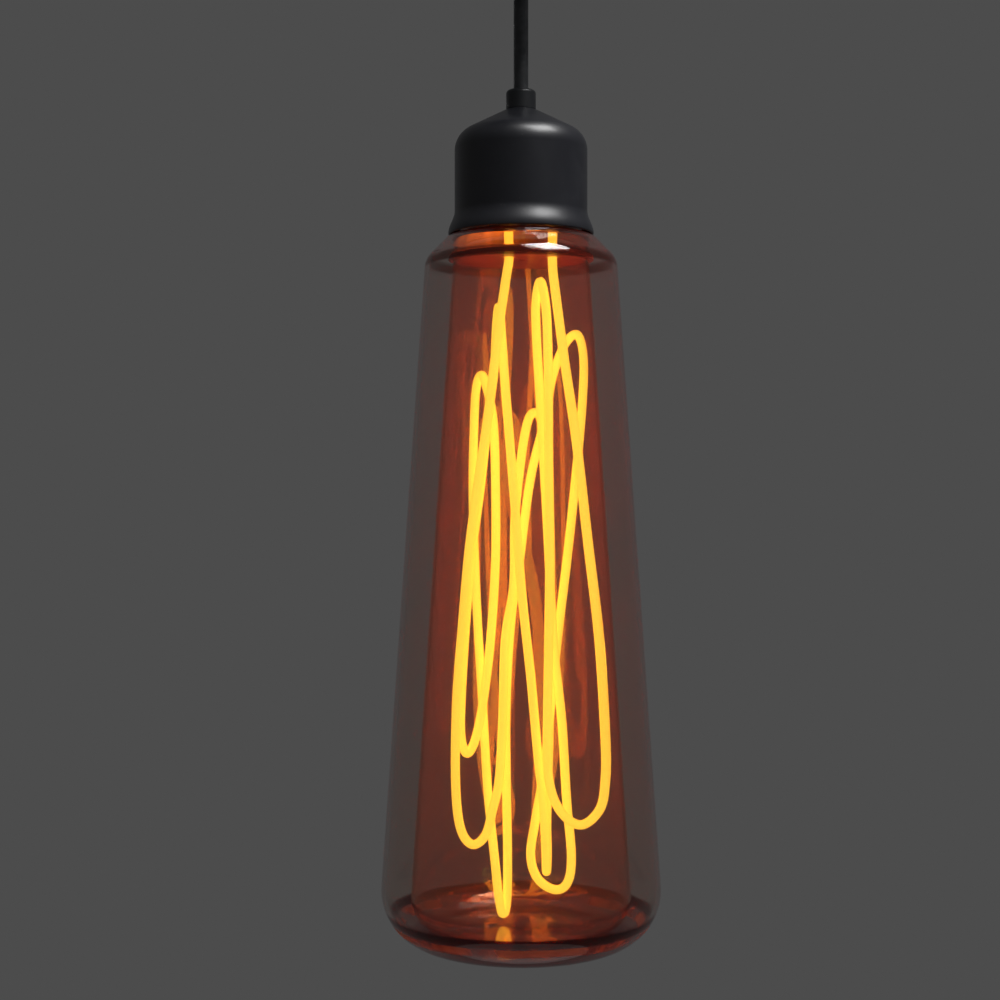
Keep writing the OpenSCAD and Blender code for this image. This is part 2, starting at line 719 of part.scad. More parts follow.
lamp_end_top = z_tilt - cord_d / 2 - ball_gap;
lamp_end_z = z_insert + room_h + nipple_tail + 1.8;

module lamp_cord_end() {
    color([0.05, 0.05, 0.06]) translate([0, 0, lamp_end_z])
        cylinder(d = cord_d, h = lamp_end_top - lamp_end_z);
}

module holder_core(side, shade) {
    points = concat(
        [for (p = holder_core_route)
            [p[0], side * p[1], lamp_end_z - p[2] * (lamp_end_z - wire_z)]],
        [[0, side * (block_y - block[1] / 2 + 1.1), wire_z]]);
    color(shade) tube(smooth(points, 3), core_d, core_sides);
}
module core_live() { holder_core(1, [0.45, 0.25, 0.15]); }
module core_neutral() { holder_core(-1, [0.25, 0.4, 0.65]); }

module contact_plunger() {
    color([0.85, 0.72, 0.4]) {
        translate([0, 0, z_face]) cylinder(d = plunger_d, h = plunger_t);
        translate([0, 0, z_face])
            cylinder(r = pin_r, h = plunger_reach + insert_top_t + bush_lip + pin_head_t + fit);
        translate([0, 0, z_insert + bush_lip + fit]) cylinder(r = pin_head_r, h = pin_head_t);
    }
}

spring_wire = 0.4;
spring_r = (plunger_d / 2 + pin_r) / 2 - 0.1;
spring_turns = 2.5;
spring_low = z_face + plunger_t + spring_wire / 2 + fit;
spring_high = z_floor - spring_wire / 2 - fit;
spring_line = [for (k = [0 : spring_turns * 8]) let (a = 45 * k)
    [spring_r * cos(a), spring_r * sin(a),
        spring_low + (spring_high - spring_low) * k / (spring_turns * 8)]];

module contact_spring() {
    color([0.75, 0.76, 0.78]) tube(spring_line, spring_wire, 6);
}

// Bulb cap

module contact_button() {
    r = button_d / 2;
    dome = 0.5;
    color([0.8, 0.79, 0.76]) rotate_extrude() polygon([
        [0, z_tip], [r - 1.4, z_tip - 0.12], [r - 0.4, z_tip - dome],
        [r, z_tip - button_t + 0.2], [r, z_tip - button_t + fit],
        [rivet_r, z_tip - button_t + fit], [rivet_r, z_tip - button_t - rivet_h],
        [lead_d, z_tip - button_t - rivet_h], [lead_d, z_tip - button_t - 0.6],
        [0, z_tip - button_t - 0.6]]);
}

module cap_shell() {
    z0 = z_cap_rim + skirt_h;
    rows = floor((z_shell_top - z0 - 0.6) / thread_pitch * rows_per_turn);
    step = thread_pitch / rows_per_turn;
    lead_in = 2.2;
    color([0.84, 0.84, 0.82]) skin(concat(
        [even_row(z_shell_top, cap_bore_r), even_row(z_cap_rim, cap_bore_r),
            even_row(z_cap_rim, skirt_r), even_row(z0 - 0.3, skirt_r)],
        [for (k = [0 : rows]) let (z = z0 + k * step)
            thread_row(z, cap_mean_r,
                min(skirt_r, cap_mean_r - thread_amp
                    + (z_shell_top - z) * 2 * thread_amp / lead_in))],
        [even_row(z_shell_top, cap_mean_r - thread_amp - 0.05)]),
        thread_sides);
}

module cap_insulator() {
    low = z_shell_top - insulator_depth;
    high = z_shell_top + insulator_rise;
    color([0.12, 0.1, 0.1]) rotate_extrude() polygon([
        [rivet_r + run, low], [cap_bore_r - fit, low], [cap_bore_r - fit, z_shell_top + 0.05],
        [cap_bore_r - 1, z_shell_top + 0.9], [button_d / 2 + 0.9, high],
        [rivet_r + run, high]]);
}

module cap_cement() {
    color([0.8, 0.76, 0.68]) translate([0, 0, z_cap_rim + 0.4])
        ring(cap_bore_r - fit, neck_r + fit, neck_in_cap - 1);
}

// Glass

glass_arc_x = glass_shoulder_d / 2 - glass_shoulder_r * cos(taper);
glass_arc_z = z_rim - rim_gap - (glass_arc_x + glass_shoulder_r * cos(shoulder_turn) - rim_r)
    * tan(glass_shoulder_slope) - glass_shoulder_r * sin(shoulder_turn);
foot_arc_x = glass_r - glass_corner_r;
foot_arc_z = z_glass + glass_corner_r;

// The outer glass's outline from neck to foot, moved inwards by inset
function glass_side(inset) = concat(
    [[neck_r - inset, z_neck], [neck_r - inset, z_cap_rim - 0.5 - inset / 2],
        [brow_r - inset / 3, z_rim + brow_drop - inset],
        [rim_r - inset / 2, z_rim - rim_gap - inset]],
    arc(glass_arc_x, glass_arc_z, glass_shoulder_r - inset, shoulder_turn, taper, 6),
    arc(foot_arc_x, foot_arc_z, glass_corner_r - inset, taper, -90, 16),
    [[0, z_glass + inset]]);

module outer_glass() {
    color([0.45, 0.42, 0.42, 0.35]) rotate_extrude($fn = 128)
        polygon(concat(glass_side(0), reversed(glass_side(glass_wall))));
}

inner_taper = atan((inner_foot_r - inner_top_r) / (z_plate - z_inner - inner_corner_r));

function inner_side(inset) = concat(
    [[inner_top_r - inset, z_plate - fit]],
    arc(inner_foot_r - inner_corner_r, z_inner + inner_corner_r, inner_corner_r - inset,
        inner_taper, -90, 10),
    [[0, z_inner + inset]]);

module inner_glass() {
    color([0.7, 0.3, 0.16, 0.35]) rotate_extrude($fn = 128)
        polygon(concat(inner_side(0), reversed(inner_side(inner_wall))));
}

// A short glass cone on the plate, round the ends of the filament's legs, its upper edge kept
// under the cup's rim and under the slope of the outer glass
module glass_collar() {
    low = z_plate_top + fit;
    slope_drop = (collar_top_r - rim_r + glass_wall / 2) * tan(glass_shoulder_slope);
    high = z_rim - max(collar_gap, rim_gap + glass_wall + slope_drop + collar_clear);
    color([0.7, 0.3, 0.16, 0.35]) rotate_extrude($fn = 128) polygon([
        [collar_foot_r - inner_wall, low], [collar_foot_r, low],
        [collar_top_r, high], [collar_top_r - inner_wall, high]]);
}

// Stem: a flare that sits on the neck's upper edge, a tube, a closed press and a post to the plate

module stem() {
    flare_t = 1.1;
    tube_wall = 1.1;
    r = stem_d / 2;
    color([0.8, 0.82, 0.8, 0.4]) difference() {
        rotate_extrude() polygon([
            [0, z_plate + 0.3], [post_r, z_plate + 0.3], [post_r, z_press],
            [r - 1, z_press], [r, z_press + 1], [r, z_neck - 1.5], [r + 1, z_neck + fit],
            [neck_r, z_neck + fit], [neck_r, z_neck + flare_t],
            [r, z_neck + flare_t], [r - tube_wall, z_neck - 1],
            [r - tube_wall, z_press + press_t], [0, z_press + press_t]]);
        for (side = [-1, 1]) translate([side * lead_x, 0, z_press - 1])
            cylinder(d = lead_d + 2 * fit, h = press_t + 2);
    }
}

module exhaust_tube() {
    color([0.8, 0.82, 0.8, 0.4]) translate([0, 0, z_press + press_t + fit]) difference() {
        cylinder(r = 1.4, h = z_neck - z_press + 4);
        translate([0, 0, -1]) cylinder(r = 0.8, h = z_neck - z_press + 3);
    }
}

module mount_plate() {
    color([0.3, 0.1, 0.07]) difference() {
        translate([0, 0, z_plate]) cylinder(r = inner_top_r + plate_lip, h = plate_t);
        translate([0, 0, z_plate - 1]) cylinder(r = post_r + fit, h = plate_t + 2);
        for (p = [filament_from, filament_to]) translate([p[0], p[1], z_plate - 1])
            cylinder(d = ferrule_d + 2 * fit, h = plate_t + 2);
    }
}

// Two sleeves guide the filament's legs through the plate, two caps close the legs above it
module ferrules() {
    color([0.78, 0.62, 0.34]) for (p = [filament_from, filament_to]) {
        translate([p[0], p[1], z_plate]) difference() {
            union() {
                cylinder(d = ferrule_d, h = plate_t + 0.2);
                translate([0, 0, plate_t + fit]) cylinder(r = ferrule_d / 2 + 0.8, h = ferrule_lip);
            }
            translate([0, 0, -1]) cylinder(r = ferrule_bore_r, h = plate_t + ferrule_lip + 2);
        }
        translate([p[0], p[1], z_leg - cap_grip]) difference() {
            cylinder(d = ferrule_d - 0.8, h = cap_grip + end_room + cap_t);
            translate([0, 0, -1]) cylinder(r = ferrule_bore_r, h = 1 + cap_grip + end_room);
            cylinder(d = lead_d + 2 * fit, h = cap_grip + end_room + cap_t + 1);
        }
    }
}

// A lead-in wire runs down the stem, through the press and across to its leg's cap
module lead(side, start, target) {
    points = concat(start, [
        [side * lead_x, 0, z_press + press_t + 6],
        [side * lead_x, 0, z_press + press_t],
        [side * lead_x, 0, z_press],
        [side * (lead_x + 0.2), target[1] * 0.05, z_across + 0.3],
        [side * lead_x + (target[0] - side * lead_x) * 0.35, target[1] * 0.35, z_across],
        [target[0] - (target[0] - side * lead_x) * 0.12, target[1] * 0.88, z_across],
        [target[0], target[1], z_across - 0.8],
        [target[0], target[1], z_leg + end_room + 0.2]]);
    color([0.72, 0.7, 0.66]) tube(points, lead_d, 6);
}

module lead_live() {
    lead(1, [
        [0, 0, z_tip - button_t - rivet_h + 1], [0, 0, z_tip - button_t - rivet_h - 0.6],
        [1.2, 0, z_tip - button_t - rivet_h - 2.6], [lead_x, 0, z_tip - button_t - rivet_h - 5],
        [lead_x, 0, z_neck + 2]], filament_from);
}

module lead_neutral() {
    rise = z_neck + 2.4;
    lead(-1, [
        [-cap_bore_r + lead_d / 2 + fit, 0, rise - 1],
        [-cap_bore_r + 1.2, 0, rise + 0.2], [-6, 0, rise + 0.4],
        [-lead_x - 0.6, 0, rise - 0.6], [-lead_x, 0, rise - 3]], filament_to);
}

// Filament

filament_line = smooth([for (p = filament_route)
    [p[0] * cage_r / drawn_r, p[1] * cage_r / drawn_r,
        p[2] < 0 ? z_plate - p[2] * leg_rise : z_plate - p[2] * cage_h / drawn_h]],
    filament_steps);

module filament() {
    color([1, 0.8, 0.2]) tube(filament_line, filament_d, filament_sides);
}

echo(filament_gap = self_gap(filament_line, filament_d, 5));
echo(spring_gap = self_gap(spring_line, spring_wire, 6));

rose_cover();
rose_bracket();
rose_side_screws();
rose_terminal_block();
rose_terminals();
rose_terminal_screws();
rose_block_screws();
rose_nipple();
rose_lock_nut();
rose_cord_grip();
rose_cord_end();
rose_core_live();
rose_core_neutral();
pendant_cord();
cord_grip();
nipple();
lock_nut();
cup();
strap();
strap_screws();
lampholder_insert();
holder_shell();
contact_bush();
live_link();
neutral_rivet();
terminals();
terminal_screws();
lamp_cord_end();
core_live();
core_neutral();
contact_plunger();
contact_spring();
contact_button();
cap_shell();
cap_insulator();
cap_cement();
outer_glass();
inner_glass();
glass_collar();
stem();
exhaust_tube();
mount_plate();
ferrules();
lead_live();
lead_neutral();
filament();
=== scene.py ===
"""Pendant lamp with a tall smoked bulb: its looks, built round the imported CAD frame.

Everything is in metres in the CAD's own frame: the origin is on the ceiling, at the centre of the
rose's upper face, +Z is up and the photograph looks along +Y. Sizes that repeat the CAD's are
written in millimetres and turned into metres where a mesh is made.
"""

import json
import logging
import math
from dataclasses import dataclass
from enum import Enum
from typing import Any, Callable, Dict, List, Optional, Sequence, Tuple, Union

import bmesh
import bpy
import numpy as np
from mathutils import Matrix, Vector

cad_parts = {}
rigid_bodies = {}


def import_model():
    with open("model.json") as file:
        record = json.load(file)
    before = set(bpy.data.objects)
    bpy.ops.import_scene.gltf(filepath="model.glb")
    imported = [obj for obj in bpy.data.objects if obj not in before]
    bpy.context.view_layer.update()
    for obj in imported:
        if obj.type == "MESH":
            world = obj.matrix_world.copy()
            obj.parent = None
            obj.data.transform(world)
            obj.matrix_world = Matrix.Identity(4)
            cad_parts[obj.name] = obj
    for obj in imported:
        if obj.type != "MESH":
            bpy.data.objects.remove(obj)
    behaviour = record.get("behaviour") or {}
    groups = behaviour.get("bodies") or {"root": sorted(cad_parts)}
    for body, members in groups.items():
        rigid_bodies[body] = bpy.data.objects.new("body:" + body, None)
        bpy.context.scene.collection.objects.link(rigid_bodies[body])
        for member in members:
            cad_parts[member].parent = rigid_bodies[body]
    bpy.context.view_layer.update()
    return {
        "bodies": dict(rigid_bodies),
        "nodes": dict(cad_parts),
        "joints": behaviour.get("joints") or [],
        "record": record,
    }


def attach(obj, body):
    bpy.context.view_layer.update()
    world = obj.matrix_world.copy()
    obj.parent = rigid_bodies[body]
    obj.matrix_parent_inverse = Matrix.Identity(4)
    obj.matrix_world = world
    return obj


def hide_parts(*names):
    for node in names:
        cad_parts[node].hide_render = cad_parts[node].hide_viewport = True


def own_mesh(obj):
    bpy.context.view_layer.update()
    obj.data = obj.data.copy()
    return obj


LOG = logging.getLogger("pendant_lamp")
MM = 0.001

Colour = Tuple[float, float, float]
Point = Tuple[float, float, float]
Outline = List[Tuple[float, float]]
Input = Union["Field", float, int, bool, str, Sequence[float], bpy.types.ID]

BLACK: Colour = (0.0, 0.0, 0.0)
BRASS: Colour = (0.72, 0.47, 0.17)
OLD_BRASS: Colour = (0.42, 0.24, 0.08)


class Body(Enum):
    """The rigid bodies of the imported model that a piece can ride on."""

    ROSE = "ceiling_rose"
    CORD = "cord"
    HOLDER = "lampholder"
    PLUNGER = "contact_plunger"
    BULB = "bulb"


class Slot(Enum):
    """The record's material slots."""

    PAINT = "black_paint"
    ZINC = "zinc_steel"
    BRASS = "brass"
    PORCELAIN = "porcelain"
    BLOCK = "block_plastic"
    GRIP = "grip_plastic"
    SHEATH = "cord_jacket"
    BROWN = "core_brown"
    BLUE = "core_blue"
    SMOKED = "smoked_glass"
    AMBER = "amber_glass"
    CLEAR = "clear_glass"
    PLATE = "plate_enamel"
    GLOW = "filament_glow"
    NICKEL = "cap_nickel"
    SOLDER = "contact_solder"
    VITRITE = "cap_glass"
    CEMENT = "cement"
    WIRE = "lead_wire"
    SPRING = "spring_steel"


class Blend(Enum):
    """How a mask lays one colour over another."""

    MIX = "MIX"
    MULTIPLY = "MULTIPLY"


# Node graphs


def sign(operation: str, swapped: bool = False) -> Callable[["Field", Input], "Field"]:
    """One of the arithmetic signs of a field.

    Args:
        operation: the Math node's operation.
        swapped: whether the field stands behind the sign, as in 1 - mask.

    Returns:
        The method for the sign.
    """

    def method(self: "Field", other: Input) -> "Field":
        """Adds the Math node for the field and the other value."""
        return self.math(operation, *((other, self) if swapped else (self, other)))

    return method


class Field:
    """A socket of a node tree that can be used in sums like a number."""

    __add__, __radd__ = sign("ADD"), sign("ADD", swapped=True)
    __sub__, __rsub__ = sign("SUBTRACT"), sign("SUBTRACT", swapped=True)
    __mul__, __rmul__ = sign("MULTIPLY"), sign("MULTIPLY", swapped=True)
    __truediv__, __rtruediv__ = sign("DIVIDE"), sign("DIVIDE", swapped=True)
    __pow__ = sign("POWER")

    def __init__(self, graph: "Graph", socket: bpy.types.NodeSocket) -> None:
        """Wraps one output socket."""
        self.graph = graph
        self.socket = socket

    def out(self, name: str) -> "Field":
        """Another output of the same node, by name."""
        return Field(self.graph, self.socket.node.outputs[name])

    def math(self, operation: str, *values: Input) -> "Field":
        """Adds one Math node to the tree and returns its result."""
        return self.graph.add("ShaderNodeMath", {"operation": operation}, dict(enumerate(values)))

    def sine(self) -> "Field":
        """The sine of self, in radians."""
        return self.math("SINE", self)

    def between(self, low: float, high: float) -> "Field":
        """Self as a smooth share, 0 at low and 1 at high.

        Args:
            low: the value that gives 0.
            high: the value that gives 1.

        Returns:
            The share, kept from 0 to 1.
        """
        return self.graph.add(
            "ShaderNodeMapRange",
            {"interpolation_type": "SMOOTHSTEP"},
            {"Value": self, "From Min": low, "From Max": high},
        )


class Graph:
    """A node tree that is written as Python expressions."""

    def __init__(self, tree: bpy.types.NodeTree) -> None:
        """Wraps one tree."""
        self.tree = tree

    def add(
        self,
        kind: str,
        settings: Optional[Dict[str, Any]] = None,
        values: Optional[Dict[Union[int, str], Input]] = None,
        out: Union[int, str] = 0,
    ) -> Field:
        """Adds a node.

        Args:
            kind: the node's type name.
            settings: its properties, set before its sockets.
            values: what each input socket holds or is linked to, by name or by number.
            out: which output the returned field stands for.

        Returns:
            The chosen output, or an input of a node that has no output.
        """
        node = self.tree.nodes.new(kind)
        for name, value in (settings or {}).items():
            setattr(node, name, value)
        for key, value in (values or {}).items():
            self.fill(node.inputs[key], value)
        sockets = node.outputs if len(node.outputs) else node.inputs
        return Field(self, sockets[out])

    def fill(self, socket: bpy.types.NodeSocket, value: Input) -> None:
        """Links a field to a socket, or writes a plain value into it."""
        if isinstance(value, Field):
            self.tree.links.new(value.socket, socket)
        elif socket.type == "RGBA" and len(value) == 3:
            socket.default_value = (*value, 1.0)
        else:
            socket.default_value = value

    def place(self, centre: Point = (0.0, 0.0, 0.0), scale: Point = (1.0, 1.0, 1.0)) -> Field:
        """The piece's own coordinates in metres, moved so that centre is 0, then scaled."""
        here = self.add("ShaderNodeTexCoord").out("Object")
        shift = tuple(-c * s for c, s in zip(centre, scale))
        values = {"Vector": here, "Location": shift, "Scale": scale}
        return self.add("ShaderNodeMapping", {}, values)

    def noise(self, at: Field, grain: float, detail: float = 3.0, rough: float = 0.55) -> Field:
        """Soft noise.

        Args:
            at: the coordinates.
            grain: the size of a patch, in metres.
            detail: how many finer layers it has.
            rough: how strong the finer layers are.

        Returns:
            A value about 0.5, from 0 to 1.
        """
        values = {"Vector": at, "Scale": 1.0 / grain, "Detail": detail, "Roughness": rough}
        return self.add("ShaderNodeTexNoise", {}, values)

    def specks(self, at: Field, grain: float) -> Field:
        """Distance from the nearest of many scattered points, as a share of a patch."""
        return self.add("ShaderNodeTexVoronoi", {}, {"Vector": at, "Scale": 1.0 / grain})

    def axes(self, at: Field) -> Tuple[Field, Field, Field]:
        """The three parts of a vector."""
        split = self.add("ShaderNodeSeparateXYZ", {}, {"Vector": at})
        return split.out("X"), split.out("Y"), split.out("Z")

    def tint(self, share: Input, a: Input, b: Input, how: Blend = Blend.MIX) -> Field:
        """Lays colour b over colour a by a share.

        Args:
            share: how much of b, from 0 to 1.
            a: the colour under it.
            b: the colour over it.
            how: the way the two are laid over each other.

        Returns:
            The mixed colour.
        """
        settings = {"data_type": "RGBA", "blend_type": how.value}
        return self.add("ShaderNodeMix", settings, {0: share, 6: a, 7: b}, out=2)

    def bump(self, height: Field, depth: float, under: Optional[Field] = None) -> Field:
        """A bumped normal.

        Args:
            height: the height's share, from 0 to 1.
            depth: the height of share 1, in metres.
            under: a normal that this bump lies on.

        Returns:
            The bumped normal.
        """
        values = {"Height": height, "Distance": depth, "Strength": 1.0}
        if under is not None:
            values["Normal"] = under
        return self.add("ShaderNodeBump", {}, values)

    def principled(self, values: Dict[str, Input]) -> Field:
        """The Principled shader, with these of its sockets filled."""
        return self.add("ShaderNodeBsdfPrincipled", {}, values)

    def mixed(self, share: Input, under: Field, over: Field) -> Field:
        """Two shaders laid over each other by a share."""
        return self.add("ShaderNodeMixShader", {}, {0: share, 1: under, 2: over})


# Finishes


@dataclass(frozen=True)
class Finish:
    """A finish for one slot of the record; each kind draws its own nodes."""

    name: str
    slot: Slot

    def material(self) -> bpy.types.Material:
        """The finish as a material, made once and then shared."""
        label = "lamp." + self.name
        found = bpy.data.materials.get(label)
        if found is not None:
            return found
        made = bpy.data.materials.new(label)
        made.use_nodes = True
        made.node_tree.nodes.clear()
        graph = Graph(made.node_tree)
        values = {"Surface": self.shade(graph)}
        within = self.inside(graph)
        if within is not None:
            values["Volume"] = within
        graph.add("ShaderNodeOutputMaterial", {}, values)
        return made

    def shade(self, graph: Graph) -> Field:
        """Draws the finish and returns its shader."""
        raise NotImplementedError

    def inside(self, graph: Graph) -> Optional[Field]:
        """What fills the piece under its surface, or None for nothing."""
        return None


@dataclass(frozen=True)
class BlackPaint(Finish):
    """Satin black paint on spun steel: fine orange peel, a few dust specks, a cool sheen."""

    colour: Colour = (0.0104, 0.0109, 0.0145)
    clouded: Colour = (0.0215, 0.0222, 0.027)
    dusty: Colour = (0.09, 0.09, 0.088)
    gloss: float = 0.34
    cloud_size: float = 0.018
    peel_size: float = 0.0011
    peel_depth: float = 0.000012
    speck_size: float = 0.0022
    drift_size: float = 0.006

    def shade(self, graph: Graph) -> Field:
        """Draws the paint."""
        at = graph.place()
        cloud = graph.noise(at, self.cloud_size, 4.0)
        peel = graph.noise(at, self.peel_size, 2.0)
        speck = 1.0 - graph.specks(at, self.speck_size).between(0.04, 0.16)
        dust = speck * graph.noise(at, self.drift_size, 1.0).between(0.52, 0.75)
        colour = graph.tint(cloud.between(0.35, 0.8) * 0.6, self.colour, self.clouded)
        values = {
            "Base Color": graph.tint(dust * 0.5, colour, self.dusty),
            "Roughness": self.gloss + cloud * 0.10 + dust * 0.25,
            "Specular IOR Level": 0.5,
            "Coat Weight": 0.12,
            "Coat Roughness": 0.22,
            "Normal": graph.bump(peel, self.peel_depth),
        }
        return graph.principled(values)


@dataclass(frozen=True)
class DrawnMetal(Finish):
    """Drawn, plated or turned metal, with fine lines round its axis and dull patches."""

    colour: Colour = (0.55, 0.56, 0.58)
    tarnish: Colour = (0.33, 0.34, 0.36)
    gloss: float = 0.28
    line_size: float = 0.00035
    line_depth: float = 0.000006
    patch_size: float = 0.0045
    scuff_size: float = 0.0008

    def shade(self, graph: Graph) -> Field:
        """Draws the metal."""
        lines = graph.noise(graph.place(scale=(0.12, 0.12, 1.0)), self.line_size, 2.0)
        patch = graph.noise(graph.place(), self.patch_size, 4.0)
        scuff = graph.noise(graph.place(), self.scuff_size, 2.0)
        colour = graph.tint(patch.between(0.4, 0.72), self.colour, self.tarnish)
        values = {
            "Base Color": graph.tint(lines * 0.25, colour, self.colour, Blend.MULTIPLY),
            "Metallic": 1.0,
            "Roughness": self.gloss + patch * 0.18 + scuff * 0.06,
            "Normal": graph.bump(lines, self.line_depth),
        }
        return graph.principled(values)


@dataclass(frozen=True)
class Moulding(Finish):
    """Moulded plastic with a fine spark-eroded grain."""

    colour: Colour = (0.017, 0.018, 0.0205)
    worn: Colour = (0.029, 0.0305, 0.034)
    gloss: float = 0.34
    cloud_size: float = 0.009
    grain_size: float = 0.00045
    grain_depth: float = 0.000014

    def shade(self, graph: Graph) -> Field:
        """Draws the plastic."""
        at = graph.place()
        cloud = graph.noise(at, self.cloud_size)
        grain = graph.noise(at, self.grain_size, rough=0.7)
        values = {
            "Base Color": graph.tint(cloud.between(0.4, 0.7), self.colour, self.worn),
            "Roughness": self.gloss + grain * 0.14,
            "Normal": graph.bump(grain, self.grain_depth),
        }
        return graph.principled(values)


@dataclass(frozen=True)
class Sheath(Finish):
    """Extruded sheath of a flex or a core: faint lines along it and slight waves across."""

    colour: Colour = (0.032, 0.034, 0.037)
    rubbed: Colour = (0.055, 0.057, 0.061)
    gloss: float = 0.42
    line_size: float = 0.0007
    line_depth: float = 0.00002
    wave_size: float = 0.004
    wave_depth: float = 0.00004

    def shade(self, graph: Graph) -> Field:
        """Draws the sheath."""
        lines = graph.noise(graph.place(scale=(1.0, 1.0, 0.08)), self.line_size, 2.0)
        wave = graph.noise(graph.place(), self.wave_size, 2.0)
        values = {
            "Base Color": graph.tint(wave.between(0.35, 0.75), self.colour, self.rubbed),
            "Roughness": self.gloss + lines * 0.12,
            "Normal": graph.bump(lines, self.line_depth, graph.bump(wave, self.wave_depth)),
        }
        return graph.principled(values)


@dataclass(frozen=True)
class Glaze(Finish):
    """Fired clay or glass with a clear glaze over it."""

    colour: Colour = (0.82, 0.80, 0.75)
    shaded: Colour = (0.70, 0.66, 0.58)
    gloss: float = 0.22
    ripple_size: float = 0.006
    ripple_depth: float = 0.00006
    pinhole_size: float = 0.0035

    def shade(self, graph: Graph) -> Field:
        """Draws the glaze, with pinholes and a slow ripple."""
        at = graph.place()
        ripple = graph.noise(at, self.ripple_size, 2.0)
        pin = 1.0 - graph.specks(at, self.pinhole_size).between(0.02, 0.07)
        colour = graph.tint(ripple.between(0.35, 0.75), self.colour, self.shaded)
        values = {
            "Base Color": graph.tint(pin * 0.5, colour, tuple(c * 0.3 for c in self.shaded)),
            "Roughness": self.gloss + ripple * 0.12,
            "Coat Weight": 0.7,
            "Coat Roughness": 0.06,
            "Normal": graph.bump(ripple, self.ripple_depth),
        }
        return graph.principled(values)


@dataclass(frozen=True)
class Chalky(Finish):
    """Rough, dry cement or solder with pits."""

    colour: Colour = (0.55, 0.50, 0.42)
    pitted: Colour = (0.32, 0.28, 0.22)
    metal: float = 0.0
    gloss: float = 0.8
    pit_size: float = 0.0009
    pit_depth: float = 0.00003
    grain_size: float = 0.0006

    def shade(self, graph: Graph) -> Field:
        """Draws the surface."""
        at = graph.place()
        pits = graph.specks(at, self.pit_size).between(0.1, 0.5)
        grain = graph.noise(at, self.grain_size, 4.0, 0.7)
        values = {
            "Base Color": graph.tint(pits * grain, self.pitted, self.colour),
            "Metallic": self.metal,
            "Roughness": self.gloss - grain * 0.2,
            "Normal": graph.bump(pits + grain, self.pit_depth),
        }
        return graph.principled(values)


@dataclass(frozen=True)
class GlassBand:
    """A band round a glass wall at one height. In the tint it is a darker ring, painted shade along
    the glass's bends; as the haze band it scatters the light that falls on it.

    Fields:
        middle: the height of its middle line.
        half: half its width.
        colour: what it leaves of the light that passes, or what it scatters where it is lit.
    """

    middle: float
    half: float
    colour: Colour

    def share(self, graph: Graph) -> Field:
        """Where the ring lies: 1 on it, 0 off it, with a slightly wavering edge."""
        at = graph.place()
        full, gone = 0.8 * self.half, 1.3 * self.half
        waver = graph.axes(at)[2] + (graph.noise(at, 0.03, 1.0) - 0.5) * (0.6 * self.half)
        low = waver.between(self.middle - gone, self.middle - full)
        high = waver.between(self.middle + full, self.middle + gone)
        return low - high


@dataclass(frozen=True)
class TintedGlass(Finish):
    """Blown glass: a tint in its skin and its wall, a ripple, rings of painted shade, and a film
    and a haze on it.

    Fields:
        tint_high, tint_low: the skin's tint at top_z and at foot_z.
        smoke, density: what the wall takes out of the light on its way.
        haze_colour, haze: a bloom on the glass that catches the glow, and its share.
        lustre_colour, lustre: a mirror film on the glass, and its share.
        painted_shade_bands: darker rings in the tint, painted shade where the glass's bends look
            dark.
        lit_seam, lit_haze: a ring that catches the glow, and its share.
    """

    tint_high: Colour = (0.96, 0.93, 0.90)
    tint_low: Colour = (0.92, 0.87, 0.82)
    smoke: Colour = (0.62, 0.45, 0.41)
    density: float = 90.0
    haze_colour: Colour = (0.95, 0.06, 0.02)
    haze: float = 0.0
    lustre_colour: Colour = (1.0, 0.37, 0.13)
    lustre: float = 0.0
    painted_shade_bands: Tuple[GlassBand, ...] = ()
    lit_seam: Optional[GlassBand] = None
    lit_haze: float = 0.65
    top_z: float = -0.14
    foot_z: float = -0.43
    ripple_size: float = 0.035
    ripple_depth: float = 0.00004
    smear_size: float = 0.05
    streak_size: float = 0.014

    def shade(self, graph: Graph) -> Field:
        """Draws the glass, the film on it and the haze over both."""
        at = graph.place()
        height = graph.axes(at)[2].between(self.foot_z, self.top_z)
        flow = graph.noise(graph.place(scale=(1.0, 1.0, 0.25)), self.ripple_size, 1.0)
        tint = graph.tint(height, self.tint_low, self.tint_high)
        # painted shade: darker rings laid into the tint at the heel and the shoulder bend
        for shade_band in self.painted_shade_bands:
            tint = graph.tint(shade_band.share(graph), tint, shade_band.colour)
        glass = graph.principled({
            "Base Color": tint,
            "Roughness": 0.0,
            "IOR": 1.46,
            "Transmission Weight": 1.0,
            "Normal": graph.bump(flow, self.ripple_depth),
            **self.painted_glow_sockets(graph),
        })
        if self.lustre:
            values = {"Color": self.lustre_colour, "Roughness": 0.02}
            film = graph.add("ShaderNodeBsdfGlossy", {}, values)
            glass = graph.mixed(self.lustre, glass, film)
        if not self.haze:
            return glass
        smear = graph.noise(at, self.smear_size).between(0.2, 0.9)
        colour: Input = self.haze_colour
        amount = (0.55 + smear * 0.6 + height * 0.35) * self.haze
        if self.lit_seam:
            down = graph.place(scale=(1.0, 1.0, 0.15))
            streak = graph.noise(down, self.streak_size, 1.0).between(0.3, 0.6)
            share = self.lit_seam.share(graph) * streak
            colour = graph.tint(share, self.haze_colour, self.lit_seam.colour)
            amount = share * self.lit_haze + amount
        lit = graph.add("ShaderNodeBsdfDiffuse", {}, {"Color": colour})
        through = graph.add("ShaderNodeBsdfTranslucent", {}, {"Color": colour})
        return graph.mixed(amount, glass, graph.mixed(0.5, lit, through))

    def painted_glow_sockets(self, graph: Graph) -> Dict[str, Input]:
        """The sockets for a painted glow in the glass: none here."""
        return {}

    def inside(self, graph: Graph) -> Optional[Field]:
        """The colour that the wall takes out of the light on its way."""
        values = {"Color": self.smoke, "Density": self.density}
        return graph.add("ShaderNodeVolumeAbsorption", {}, values)


